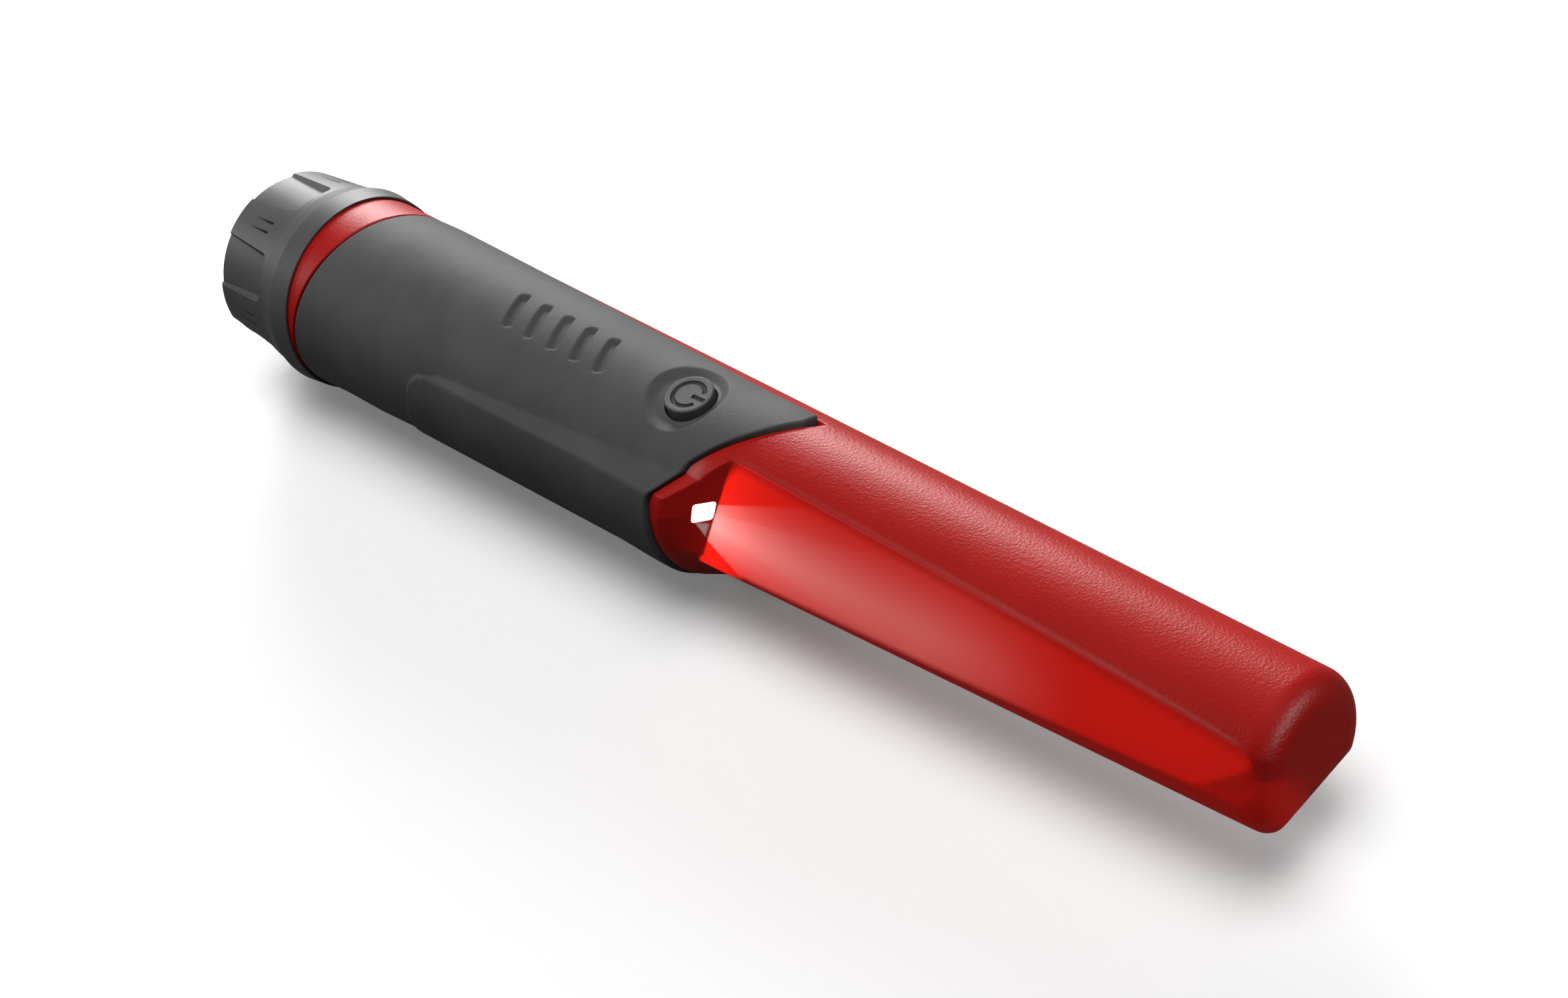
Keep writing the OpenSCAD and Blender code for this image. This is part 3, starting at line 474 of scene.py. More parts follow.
def paintedBeamHaze(x, across):
    # painted pale haze of the lamp's beam, fanning out along the flat
    beam = paintedLightShape
    drift = across - beam["fanAcross"]
    reach = np.maximum(x - beam["fanX"], 0)
    (up, upGrow), (down, downGrow) = beam["fanUp"], beam["fanDown"]
    width = np.where(drift > 0, up + upGrow * reach, down + downGrow * reach)
    fan = np.exp(-beam["fanFade"] * np.abs(drift / width) ** beam["fanPower"])
    sourceX, sourceAcross = beam["source"]  # rays fan out from a point behind the window
    lean = (across - sourceAcross) / np.maximum(x - sourceX, 1)
    rays = fall(lean, *beam["rayTop"]) * rise(lean, *beam["rayFoot"])
    rays = rays * (1 - beam["upperDim"] + beam["upperDim"] * fall(lean, *beam["upperRay"]))
    rays = rays * (1 - beam["lowerDim"] + beam["lowerDim"] * rise(lean, *beam["lowerRay"]))
    (far, farLength), (near, nearLength) = beam["farHaze"], beam["nearHaze"]
    flatTo, hazeX = beam["hazeX"]
    paintedPaleLight = beam["paintedPaleLight"] + far * np.exp((hazeX - x) / farLength)
    paintedPaleLight = paintedPaleLight + near * np.exp((hazeX - np.maximum(x, flatTo)) / nearLength)
    return paintedPaleLight * fan * rays * (1 - rise(x, *beam["hazeEnd"]))


def paintedRampVeil(x, psi, r, away):  # the beam's painted light also veils the ramp below the window
    beam = paintedLightShape
    along = (x - body["rampX"]) / math.cos(math.radians(body["rampLean"]))
    down = r * np.sin(psi - math.radians(body["rampFacing"])) - beam["veilTop"]
    edgeSoft, topSoft = beam["veilSoft"]
    edge = beam["veilSlope"] * (along - beam["veilStart"]) + edgeSoft / 2
    veil = beam["veil"] * fall(down, edge, edgeSoft) * rise(down, -topSoft, topSoft)
    veil = veil * (along > beam["veilFrom"]) * (x < beam["veilTo"]) * rise(away, *beam["veilOff"])
    return veil * (r < beam["veilRadius"]) * (psi < beam["veilEnd"])


def paintedCreaseGlint(x, psi, across, half):  # painted glint along the crease
    beam = paintedLightShape
    level, growth = beam["line"]
    line = np.exp(-((across - half - beam["lineAside"]) / beam["lineWidth"]) ** 2)
    line = line * (level + growth * rise(x, *beam["lineGrow"]))
    line = line * rise(x, *beam["lineStart"]) * fall(x, *beam["lineEnd"])
    first, last = beam["lineSide"]
    return line * (psi > first) * (psi < last)


def paintedCollarSheen(x, psi, r):  # painted sheen on the collar's upper facet
    beam = paintedLightShape
    sheen = beam["sheen"] * rise(psi, *beam["sheenStart"]) * fall(psi, *beam["sheenEnd"])
    return sheen * fall(x, *beam["sheenX"]) * rise(r, *beam["sheenFoot"]) * (r < beam["sheenTop"])


def paintedLight(x, psi, r):  # painted red glow and pale haze, with painted bounce light below the flat and at the tip
    beam = paintedLightShape
    facing = math.radians(body["flatFacing"])
    across = r * np.sin(facing - psi)  # up the flat
    away = np.abs(r * np.cos(psi - facing) - body["flatDistance"])
    half = np.sqrt(np.maximum((coneRadius(x) - tipInset(x)) ** 2 - body["flatDistance"] ** 2, 0))
    lit = litFlat(x, psi, across, away, half)
    # painted bounce light from the floor below the flat, and at the tip
    low = fall(across + half, *beam["fillTop"]) * rise(x, *beam["fillX"])
    low = low * fall(psi, *beam["fillEnd"]) * (psi > beam["fillFrom"])
    atTip = rise(x, body["tipX"] - beam["tipWidth"], beam["tipWidth"])
    paintedRedLight = paintedRedGlow(x, across) * lit + beam["fill"] * low + beam["paintedTipFill"] * atTip
    paintedPaleLight = paintedBeamHaze(x, across) * lit + paintedRampVeil(x, psi, r, away)
    paintedPaleLight = paintedPaleLight + paintedCollarSheen(x, psi, r) + paintedCreaseGlint(x, psi, across, half)
    return paintedRedLight, paintedPaleLight


# the red shell

shellShape = {
    "pocket": 1.42, "edgeRound": 0.3, "collarSink": 0.22, "collarWidth": 1.9, "collarFade": 0.03,
    "flatGrain": 0.7, "collarGrain": 0.35, "grainStart": 10,
    "lampAlong": 6.8, "lampAcross": 1.0, "lensRound": 0.55, "lensDepth": 4.75, "lensEdge": 0.25,
    "lensCorners": {(-1, -1): (-2.44, -1.81), (1, -1): (1.3, -0.82),
                    (1, 1): (2.04, 2.78), (-1, 1): (-1.98, 1.81)},
    "holeGap": 0.05, "holeDepth": 12, "holeTop": 2,
    "boreX": (-101.9, -91, -91, -62.6, -62.6, -40, -10, 10, 22.2, 60, 100, 118, 122),
    "boreStep": 0.05, "boreEnd": 9.6,
    "mouthRadius": 16.6, "roomRadius": 14.95, "wall": 3.9, "flatWall": 1.8,
    "wellRadius": 4.75, "wellMiddle": 14, "wellLength": 16,
    "edgeLines": (0.04, 0.1, 0.2, 0.32, 0.6),  # mm from an edge
    "gripArc": 95.0, "gripRun": 104.0, "spineArc": 20.0, "ringRun": 8.0, "probeRun": 112.0,
    "acrossRuns": ((0, 0.2, 56), (0.2, 0.5, 96), (0.5, 1, 50), (1.08, 1.92, 22), (2, 2, 1)),
    "creaseLines": (0.1992, 0.1997),
    "alongRuns": ((-1, -0.12, 8), (0.02, 0.98, 34), (1 + 0.9 / 112, 1.15, 88), (1.15, 1.955, 74),
                  (1.955, 2, 18)),
}


def boreRadius(x, psi, station):
    shape = shellShape
    flat = body["flatDistance"] - shape["flatWall"]
    hollow = np.minimum(coneRadius(x) - shape["wall"], facetRadius(flat, psi, body["flatFacing"]))
    hollow = np.minimum(hollow, facetRadius(underDistance(x) - shape["flatWall"], psi, 180))
    hollow = np.where(station < 5, shape["roomRadius"], hollow)
    return np.where(station < 3, shape["mouthRadius"], hollow)


def shellPlace(s, t):
    shape = shellShape
    s = np.where(s >= 2, 0, s)  # both ends of the sheet meet on the spine's upper edge
    x, psi, front, rear = settle(s, np.maximum(t, -1), shellAround)
    r = bodyRadius(x, psi)
    inPocket = (s > 0) & (s < 1) & (t > 0) & (t < 1)
    sideGap = np.minimum(psi - lowerEdge(x), upperEdge(x) + turn - psi) * r
    sideGap = np.where(s > 1, np.maximum(sideGap, 0), 0)
    endGap = np.where(t > 1, (x - front) * edges["frontAslant"], np.where(t < 0, rear - x, 0))
    sink = shape["collarSink"] * fall(endGap, shape["collarWidth"], shape["collarWidth"]) * (t > 1)
    sink = sink * fall(np.abs(s - 0.5), 0.5, shape["collarFade"])
    drop = rounded(np.hypot(sideGap, endGap), shape["edgeRound"]) + sink
    r = np.where(inPocket, coneRadius(x) - shape["pocket"], r - drop)
    # painted light, kept off the pocket and the bore
    paintedRedLight, paintedPaleLight = paintedLight(x, psi, r)
    offFlat = np.abs(r * np.cos(psi - math.radians(body["flatFacing"])) - body["flatDistance"])
    grain = np.where(x > shape["grainStart"], ease(offFlat / shape["flatGrain"]), shape["collarGrain"])
    station = np.rint((-1 - t) / shape["boreStep"]).astype(int)  # past the rear the sheet lines the bore
    boreX = np.array(shape["boreX"])[np.maximum(station - 1, 0)]
    x = np.where(station > 0, boreX, x)
    r = np.where(station > 0, boreRadius(x, psi, station), r)
    lit = (station <= 0) & ~inPocket
    return polarPlace(x, psi, r), {"paintedRedLight": paintedRedLight * lit, "paintedPaleLight": paintedPaleLight * lit, "grain": grain}


def onRamp(along, across, out):  # a place on the ramp, in mm
    lean, facing = math.radians(body["rampLean"]), math.radians(body["rampFacing"])
    x = body["rampX"] + along * math.cos(lean) + out * math.sin(lean)
    e = body["rampReach"] - along * math.sin(lean) + out * math.cos(lean)
    return Vector((x, across * math.cos(facing) - e * math.sin(facing),
                   axisHeight + across * math.sin(facing) + e * math.cos(facing)))


def rampTurn():  # local axes: down the ramp, across it, out of it
    origin = onRamp(0, 0, 0)
    columns = [(onRamp(*axis) - origin) for axis in ((1, 0, 0), (0, 1, 0), (0, 0, 1))]
    return Matrix(columns).transposed().to_4x4()


def windowBlock(name, grow, depth, top, segments):  # four-sided block with its upright edges rounded
    shape = shellShape
    clearPick()
    bpy.ops.mesh.primitive_cube_add(size=2, location=(0, 0, 0))
    piece = justAdded(name)
    for vertex in piece.data.vertices:
        along, across = shape["lensCorners"][(round(vertex.co.x), round(vertex.co.y))]
        vertex.co = Vector(((along + grow * vertex.co.x), (across + grow * vertex.co.y),
                            top if vertex.co.z > 0 else top - depth)) * mm
    bevelEdges(piece, lambda first, last: abs(first.z - last.z) > depth * mm / 2,
               shape["lensRound"] + grow, segments)
    return piece


def toLamp(piece):  # carry a piece from the origin to the lamp's place
    shape = shellShape
    spot = onRamp(shape["lampAlong"], shape["lampAcross"], 0) * mm
    piece.data.transform(Matrix.Translation(spot) @ rampTurn())
    return piece


def buttonWell():
    shape = shellShape
    clearPick()
    bpy.ops.mesh.primitive_cylinder_add(
        vertices=96, radius=shape["wellRadius"] * mm, depth=shape["wellLength"] * mm,
        location=(body["buttonX"] * mm, 0, (axisHeight + shape["wellMiddle"]) * mm))
    well = bpy.context.object
    applyPlace(well)
    return well


def makeShell():
    shape = shellShape
    edge = np.array(shape["edgeLines"])
    nearEdge = edge[:1]
    arc, run, spine = shape["gripArc"], shape["gripRun"], shape["spineArc"]
    acrossLines = lines(shape["acrossRuns"], shape["creaseLines"], nearEdge / arc, 1 - nearEdge / arc,
                        1 + edge / spine, 2 - edge / spine)
    stations = np.arange(1, len(shape["boreX"]) + 1)
    alongLines = lines(shape["alongRuns"], (0, 1), nearEdge / run, 1 - nearEdge / run,
                       -edge / shape["ringRun"], 1 + edge / shape["probeRun"],
                       -1 - shape["boreStep"] * stations)
    shell = sheet("redShell", acrossLines, alongLines, shellPlace)
    closeUp(shell)
    fillRing(shell, lambda place: place[:, 0] > body["tipX"] - 0.001)
    fillRing(shell, lambda place: inDisc(place, shape["boreX"][-1], shape["boreEnd"]))
    closeUp(shell)
    carve(shell, buttonWell())
    carve(shell, toLamp(windowBlock("lampHole", shape["holeGap"], shape["holeDepth"], shape["holeTop"], 6)))
    smoothShade(shell, 42)
    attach(shell, "housing")
    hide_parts("probe_shell")
    print("red shell:", len(shell.data.polygons), "faces")
    return shell


# the rubber grip

gripShape = {
    "proud": 0.4, "proudStart": (-94, 14), "lipRise": 0.35, "lipStart": (-15, 13), "depth": 1.36,
    "frontRoll": 0.45, "rearRoll": 0.55, "upperRoll": 0.45, "lowerRoll": 0.6,
    "dishRadius": 7.5, "dishShift": 0.9, "dishWall": 1.5, "dishDepth": 1.1,
    "slotCount": 5, "slotPitch": 6, "slotStart": 15, "slotHalf": (1.0, 4.0), "slotRound": 0.45,
    "slotRim": 0.1, "slotWall": 0.4, "slotDepth": 0.8, "slotLean": 20,
    "edgeLines": (0.03, 0.09, 0.18, 0.3, 0.45, 0.65, 0.9, 1.2),  # mm from an edge
    "arc": 90.0, "run": 104.0,
    "acrossRuns": ((0.0145, 0.03, 4), (0.03, 0.12, 30), (0.12, 0.237, 32), (0.237, 0.29, 9),
                   (0.29, 0.34, 13), (0.34, 0.42, 15), (0.42, 0.986, 54)),
    "alongRuns": ((0.0125, 0.23, 18), (0.23, 0.42, 66), (0.42, 0.77, 90), (0.77, 0.8, 6), (0.8, 0.985, 62)),
}


def dishDrop(x, psi, r):
    out = np.hypot(x - body["buttonX"] + gripShape["dishShift"], r * np.sin(psi))
    wall = np.clip((gripShape["dishRadius"] - out) / gripShape["dishWall"], 0, 1)
    return gripShape["dishDepth"] * wall * (np.cos(psi) > 0)


def slotDrop(x, psi, r):
    shape = gripShape
    lean = math.radians(shape["slotLean"])
    halfWidth, halfLength = (half - shape["slotRound"] for half in shape["slotHalf"])
    rim = shape["slotRound"] + shape["slotRim"]
    across = -r * np.sin(psi)
    deepest = 0 * x
    for count in range(1, shape["slotCount"] + 1):
        along = x - (body["buttonX"] - shape["slotStart"] - count * shape["slotPitch"])
        first = np.abs(along * math.cos(lean) + across * math.sin(lean)) - halfWidth
        last = np.abs(-along * math.sin(lean) + across * math.cos(lean)) - halfLength
        away = np.hypot(np.maximum(first, 0), np.maximum(last, 0)) + np.minimum(np.maximum(first, last), 0)
        deepest = np.maximum(deepest, np.clip((rim - away) / shape["slotWall"], 0, 1))
    return shape["slotDepth"] * deepest * (np.cos(psi) > 0)


def gripOuter(s, t):
    shape = gripShape
    x, psi, front, rear = settle(s, t, gripAround, edges["gap"])
    r = bodyRadius(x, psi)
    proud = shape["proud"] * rise(x, *shape["proudStart"])
    proud = proud + shape["lipRise"] * rise(x - front, *shape["lipStart"])
    drop = np.maximum(rounded((front - x) * edges["frontAslant"], shape["frontRoll"]),
                      rounded(x - rear, shape["rearRoll"]))
    drop = np.maximum(drop, rounded((psi - upperEdge(x)) * r, shape["upperRoll"]))
    drop = np.maximum(drop, rounded((lowerEdge(x) - psi) * r, shape["lowerRoll"]))
    r = r + proud - drop - dishDrop(x, psi, r) - slotDrop(x, psi, r)
    onEdge = (s <= 0) | (s >= 1) | (t <= 0) | (t >= 1)
    r = np.where(onEdge, coneRadius(x) - shape["depth"], r)
    return polarPlace(x, psi, r), {}


def gripInner(s, t):
    x, psi = settle(s, t, gripAround, edges["gap"])[:2]
    return polarPlace(x, psi, coneRadius(x) - gripShape["depth"]), {}


def makeGrip():
    shape = gripShape
    edge = np.array(shape["edgeLines"])
    acrossLines = lines(shape["acrossRuns"], (0, 1), edge / shape["arc"], 1 - edge / shape["arc"])
    alongLines = lines(shape["alongRuns"], (0, 1), edge / shape["run"], 1 - edge / shape["run"])
    grip = sheet("rubberGrip", acrossLines, alongLines, gripOuter)
    inner = sheet("gripInner", acrossLines, alongLines, gripInner)
    joinInto(grip, [inner])
    closeUp(grip)
    carve(grip, buttonWell())
    smoothShade(grip, 50)
    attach(grip, "housing")
    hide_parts("grip_sleeve")
    print("rubber grip:", len(grip.data.polygons), "faces")
    return grip


# the power button; heights above the axis

keyShape = {
    "radius": 4.45, "top": 17.3, "foot": 10.205, "flangeRadius": 5.25, "flangeTop": 11.105, "core": 0.4,
    "groove": (12.7, 13.7), "grooveDepth": 1, "sideTop": 15.2, "shoulder": (0.3, 0.32),
    "topDish": ((3.75, 0.02), (2.6, 0.08), (0.4, 0.1)),  # radius and sink
    "symbolRadius": 2.85, "symbolSink": 0.08, "lineWidth": 0.95, "lineDepth": 0.7, "lineStretch": 1.7,
    "gap": 27, "barStart": 0.85, "barEnd": 3.85,
}


def keyRing(place, level):  # the small ring at the middle of the key's top or foot
    out = np.hypot(place[:, 0] - body["buttonX"], place[:, 1])
    return (np.abs(place[:, 2] - axisHeight - level) < nearBy) & (out < keyShape["core"] + nearBy)


def makeKey():
    shape = keyShape
    r, top, foot, core = shape["radius"], shape["top"], shape["foot"], shape["core"]
    grooveLow, grooveHigh = shape["groove"]
    grooveRadius = r - shape["grooveDepth"]
    profile = [(foot, core), (foot, shape["flangeRadius"]), (shape["flangeTop"], shape["flangeRadius"]),
               (shape["flangeTop"], r), (grooveLow, r), (grooveLow, grooveRadius),
               (grooveHigh, grooveRadius), (grooveHigh, r), (shape["sideTop"], r)]
    rounding, inward = shape["shoulder"]
    for i in range(7):  # rounded shoulder
        angle = math.pi / 2 * i / 6
        profile.append((top - rounding + rounding * math.sin(angle), r - inward + inward * math.cos(angle)))
    profile += [(top - sink, radius) for radius, sink in shape["topDish"]]
    key = lathe("powerKey", profile, 96, "Z", (body["buttonX"], 0, axisHeight))
    for level in (profile[-1][0], foot):
        fillRing(key, lambda place: keyRing(place, level))
    closeUp(key)
    half = shape["lineWidth"] / 2
    level = axisHeight + top - shape["symbolSink"] + half * shape["lineStretch"] - shape["lineDepth"]
    clearPick()
    bpy.ops.mesh.primitive_torus_add(
        major_segments=90, minor_segments=16, major_radius=shape["symbolRadius"] * mm,
        minor_radius=half * mm, location=(body["buttonX"] * mm, 0, level * mm))
    ring = bpy.context.object
    ring.scale.z = shape["lineStretch"]
    applyPlace(ring)
    selectVerts(ring, lambda place: np.abs(np.degrees(
        np.arctan2(place[:, 1], place[:, 0] - body["buttonX"]))) < shape["gap"])
    bpy.ops.mesh.delete(type="VERT")
    closeUp(ring, fill=True)
    carve(key, ring)
    clearPick()
    barMiddle = body["buttonX"] + (shape["barStart"] + shape["barEnd"]) / 2
    bpy.ops.mesh.primitive_cylinder_add(
        vertices=24, radius=half * mm, depth=(shape["barEnd"] - shape["barStart"]) * mm,
        rotation=(0, math.pi / 2, 0), location=(barMiddle * mm, 0, level * mm))
    bar = bpy.context.object
    bar.scale.x = shape["lineStretch"]
    applyPlace(bar)
    carve(key, bar)
    smoothShade(key, 35)
    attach(key, "power_button")
    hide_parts("button_key")
    print("power key:", len(key.data.polygons), "faces")
    return key


# the lamp's window

def makeLens():
    lens = windowBlock("lampLens", 0, shellShape["lensDepth"], 0, 8)
    bevelEdges(lens, lambda first, last: min(first.z, last.z) > -nearBy * mm, shellShape["lensEdge"], 4)
    toLamp(lens)
    smoothShade(lens, 40)
    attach(lens, "housing")
    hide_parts("lamp_window")
    print("lamp lens:", len(lens.data.polygons), "faces")
    return lens


# the screw cap

capShape = {
    "rearX": -125, "headLength": 23, "endRadius": 18.0, "endRound": 0.45, "endRing": 8, "core": 0.5,
    "lugRadius": 19.1, "lugLength": 15.4, "flangeRadius": 20.15, "flangeStart": 19.5,
    "lipRadius": 19.7, "lipLength": 0.9, "lipBore": 19.34, "lugs": 6, "lugFacing": 22,
    "panelRadius": (17.25, 17.65), "panelSpan": (-4, 16), "panelLength": 14.3, "panelEnd": 5.6,
    "panelFront": 3.9, "panelCorner": 1.5, "panelDraft": 0.9, "panelLevel": 17.3, "panelCut": (15.9, 22.0),
    "slitStart": 5.4, "slitLength": 5.9, "slitSpan": 2.1, "slitDepth": (0.05, 1.1), "slitWidth": 0.55,
    "slitTaper": 0.35, "slitMiddle": 22, "slitHeight": 10,
    "neckRadius": 16.05, "neckLength": 10, "bore": 14.95, "floor": 4,
    "socketRadius": 2.05, "socketFloor": 1.9,
    "threadRadius": 16.45, "threadRoot": 0.5, "threadLead": 5, "threadTurns": 1.25, "threadWidth": 1.6,
    "sealInner": 16.6, "sealOuter": 17.9, "sealDepth": 0.95,
    "segments": 180, "softEdge": 0.18, "softAngle": 28,
}


def aboutAxis(piece, degrees):  # turn a piece made above the axis round it
    middle = Vector((0, 0, axisHeight * mm))
    turned = Matrix.Rotation(math.radians(degrees), 4, "X")
    piece.data.transform(Matrix.Translation(middle) @ turned @ Matrix.Translation(-middle))


def panelCutter(degrees):
    shape = capShape
    low, high = shape["rearX"] - 1, shape["rearX"] + shape["panelLength"]
    inner, outer = shape["panelCut"]
    middle = (low + high) / 2 * mm
    clearPick()
    bpy.ops.mesh.primitive_cube_add(
        size=1, location=(middle, 0, (axisHeight + (inner + outer) / 2) * mm),
        scale=((high - low) * mm, 2 * shape["panelEnd"] * mm, (outer - inner) * mm))
    cutter = bpy.context.object
    applyPlace(cutter)
    for vertex in cutter.data.vertices:  # narrower towards the flange, with side walls that lean out
        half = shape["panelFront"] if vertex.co.x > middle else shape["panelEnd"]
        half = half + shape["panelDraft"] * (vertex.co.z / mm - axisHeight - shape["panelLevel"])
        vertex.co.y = math.copysign(half * mm, vertex.co.y)
    bevelEdges(cutter, lambda first, last: abs(first.z - last.z) > 1 * mm and first.x > middle,
               shape["panelCorner"], 6)
    aboutAxis(cutter, degrees)
    return cutter


def slitCutter(degrees, aside):
    shape = capShape
    low = shape["rearX"] + shape["slitStart"]
    middle = (low + shape["slitLength"] / 2) * mm
    slope = (shape["lugRadius"] - shape["endRadius"]) / shape["lugLength"]
    level = (axisHeight + shape["slitMiddle"]) * mm
    clearPick()
    bpy.ops.mesh.primitive_cube_add(
        size=1, location=(middle, aside * mm, level),
        scale=(shape["slitLength"] * mm, shape["slitWidth"] * mm, shape["slitHeight"] * mm))
    cutter = bpy.context.object
    applyPlace(cutter)
    for vertex in cutter.data.vertices:  # wider and deeper towards the flange
        atFront = vertex.co.x > middle
        if not atFront:
            vertex.co.y = (aside + shape["slitTaper"] * (vertex.co.y / mm - aside)) * mm
        if vertex.co.z < level:
            surface = shape["endRadius"] + slope * (vertex.co.x / mm - shape["rearX"])
            vertex.co.z = (axisHeight + surface - shape["slitDepth"][atFront]) * mm
    aboutAxis(cutter, degrees)
    return cutter


def makeThread():
    shape = capShape
    clearPick()
    bpy.ops.mesh.primitive_plane_add(size=1, location=(0, 0, 0))
    thread = bpy.context.object
    spots = thread.data.vertices
    root, crest = shape["neckRadius"] - shape["threadRoot"], shape["threadRadius"]
    half = shape["threadWidth"] / 2
    length = shape["threadLead"] * shape["threadTurns"]
    start = shape["rearX"] + shape["headLength"] + (shape["neckLength"] - length) / 2
    corners = ((root, -half), (root, half), (crest, half / 2), (crest, -half / 2))
    order = sorted(range(4), key=lambda i: math.atan2(spots[i].co.y, spots[i].co.x))
    for i, (radius, along) in zip(order, corners):
        spots[i].co = Vector(((start + along) * mm, 0, radius * mm))
    screw = thread.modifiers.new("wind", "SCREW")
    screw.axis = "X"
    screw.angle = turn * shape["threadTurns"]
    screw.screw_offset = length * mm
    screw.steps = screw.render_steps = 60
    screw.use_merge_vertices = False
    finishModifier(thread, screw)
    closeUp(thread, fill=True)
    thread.data.transform(Matrix.Translation((0, 0, axisHeight * mm)))
    return thread


def capProfile():  # from the pad's socket round the neck and the flange to the end
    shape = capShape
    rear = shape["rearX"]
    mouth = rear + shape["headLength"]
    socket, floor = rear + shape["socketFloor"], rear + shape["floor"]
    neck, lip, seal = mouth + shape["neckLength"], mouth + shape["lipLength"], mouth - shape["sealDepth"]
    return [
        (socket, shape["core"]), (socket, shape["socketRadius"]), (floor, shape["socketRadius"]),
        (floor, shape["bore"]), (neck, shape["bore"]), (neck, shape["neckRadius"]),
        (mouth, shape["neckRadius"]), (mouth, shape["sealInner"]), (seal, shape["sealInner"]),
        (seal, shape["sealOuter"]), (mouth, shape["sealOuter"]), (mouth, shape["lipBore"]),
        (lip, shape["lipBore"]), (lip, shape["lipRadius"]),
        (rear + shape["flangeStart"], shape["flangeRadius"]),
        (rear + shape["lugLength"], shape["lugRadius"]), (rear + shape["endRound"], shape["endRadius"]),
        (rear, shape["endRadius"] - shape["endRound"]),
        (rear, shape["endRing"]), (rear, shape["core"])]


def makeCap():
    shape = capShape
    rear, pitch = shape["rearX"], 360 / shape["lugs"]
    cap = lathe("screwCap", capProfile(), shape["segments"], "X", (0, 0, axisHeight))
    for level in (rear, rear + shape["socketFloor"]):
        fillRing(cap, lambda place: inDisc(place, level, shape["core"] + nearBy))
    closeUp(cap)
    panels = [panelCutter(shape["lugFacing"] + (i + 0.5) * pitch) for i in range(shape["lugs"])]
    joinInto(panels[0], panels[1:])
    low, high = shape["panelRadius"]
    behind, front = (rear + reach for reach in shape["panelSpan"])
    core = lathe("panelFloor", [(behind, low), (rear, low), (front, high)], shape["segments"], "X",
                 (0, 0, axisHeight))
    for level in (behind, front):
        fillRing(core, lambda place: np.abs(place[:, 0] - level) < nearBy)
    closeUp(core)
    carve(panels[0], core)
    carve(cap, panels[0])
    slits = [slitCutter(shape["lugFacing"] + i * pitch, side * shape["slitSpan"] / 2)
             for i in range(shape["lugs"]) for side in (-1, 1)]
    joinInto(slits[0], slits[1:])
    carve(cap, slits[0])
    soften = cap.modifiers.new("soften", "BEVEL")
    soften.width = shape["softEdge"] * mm
    soften.segments = 3
    soften.limit_method = "ANGLE"
    soften.angle_limit = math.radians(shape["softAngle"])
    soften.use_clamp_overlap = True
    finishModifier(cap, soften)
    joinInto(cap, [makeThread()])
    smoothShade(cap, 5)
    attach(cap, "screw_cap")
    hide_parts("end_cap")
    print("screw cap:", len(cap.data.polygons), "faces")
    return cap


# finishes

def newFinish(name, roughness, metallic=0.0, specular=0.5):
    finish = bpy.data.materials.new(name)
    finish.use_nodes = True
    shader = finish.node_tree.nodes["Principled BSDF"]
    shader.inputs["Roughness"].default_value = roughness
    shader.inputs["Metallic"].default_value = metallic
    shader.inputs["Specular IOR Level"].default_value = specular
    return finish, finish.node_tree.nodes, finish.node_tree.links, shader


def addNoise(nodes, links, coords, scale, detail=3.0, rough=0.55):
    noise = nodes.new("ShaderNodeTexNoise")
    noise.inputs["Scale"].default_value = scale
    noise.inputs["Detail"].default_value = detail
    noise.inputs["Roughness"].default_value = rough
    links.new(coords.outputs["Object"], noise.inputs["Vector"])
    return noise


def addRamp(nodes, links, source, stops):
    ramp = nodes.new("ShaderNodeValToRGB")
    while len(ramp.color_ramp.elements) < len(stops):
        ramp.color_ramp.elements.new(0.5)
    for element, (position, colour) in zip(ramp.color_ramp.elements, stops):
        element.position = position
        element.color = (*colour, 1)
    links.new(source, ramp.inputs["Fac"])
    return ramp


def addBump(nodes, links, height, shader, strength, distance):
    bump = nodes.new("ShaderNodeBump")
    bump.inputs["Strength"].default_value = strength
    bump.inputs["Distance"].default_value = distance * mm
    links.new(height, bump.inputs["Height"])
    links.new(bump.outputs["Normal"], shader.inputs["Normal"])


def addMath(nodes, links, kind, first, second):
    node = nodes.new("ShaderNodeMath")
    node.operation = kind
    for socket, value in zip(node.inputs, (first, second)):
        if isinstance(value, (int, float)):
            socket.default_value = value
        else:
            links.new(value, socket)
    return node.outputs["Value"]


def addRange(nodes, links, source, low, high):
    node = nodes.new("ShaderNodeMapRange")
    node.inputs["To Min"].default_value = low
    node.inputs["To Max"].default_value = high
    links.new(source, node.inputs["Value"])
    return node.outputs["Result"]


def shaded(colour, factor):
    return tuple(min(1.0, c * factor) for c in colour)


def grainedFinish(name, colour, roughness, scale, strength, distance,
                  spread=0.12, metallic=0.0, specular=0.5):
    finish, nodes, links, shader = newFinish(name, roughness, metallic, specular)
    coords = nodes.new("ShaderNodeTexCoord")
    broad = addNoise(nodes, links, coords, 90, 2.0)
    ramp = addRamp(nodes, links, broad.outputs["Fac"],
                   ((0.3, shaded(colour, 1 - spread)), (0.7, shaded(colour, 1 + spread))))
    links.new(ramp.outputs["Color"], shader.inputs["Base Color"])
    fine = addNoise(nodes, links, coords, scale)
    uneven = addRange(nodes, links, fine.outputs["Fac"], roughness - 0.08, roughness + 0.08)
    links.new(uneven, shader.inputs["Roughness"])
    addBump(nodes, links, fine.outputs["Fac"], shader, strength, distance)
    return finish


redPlastic = {
    "roughness": 0.43, "roughRange": (0.36, 0.48), "specular": 0.045, "toneScale": 45,
    "tones": ((0.25, (0.385, 0.0085, 0.0065)), (0.75, (0.425, 0.0105, 0.008))),
    "cellScale": 2100, "cellSmoothness": 0.6, "pitScale": 2600, "pitShare": 0.6,
    "grainRange": (0.25, 1.0), "bumpStrength": 0.3, "bumpDistance": 0.16,
    # colours of the painted red light and the painted pale light
    "light": {"paintedRedLight": (1.0, 0.012, 0.004), "paintedPaleLight": (1.0, 0.98, 0.93)},
}


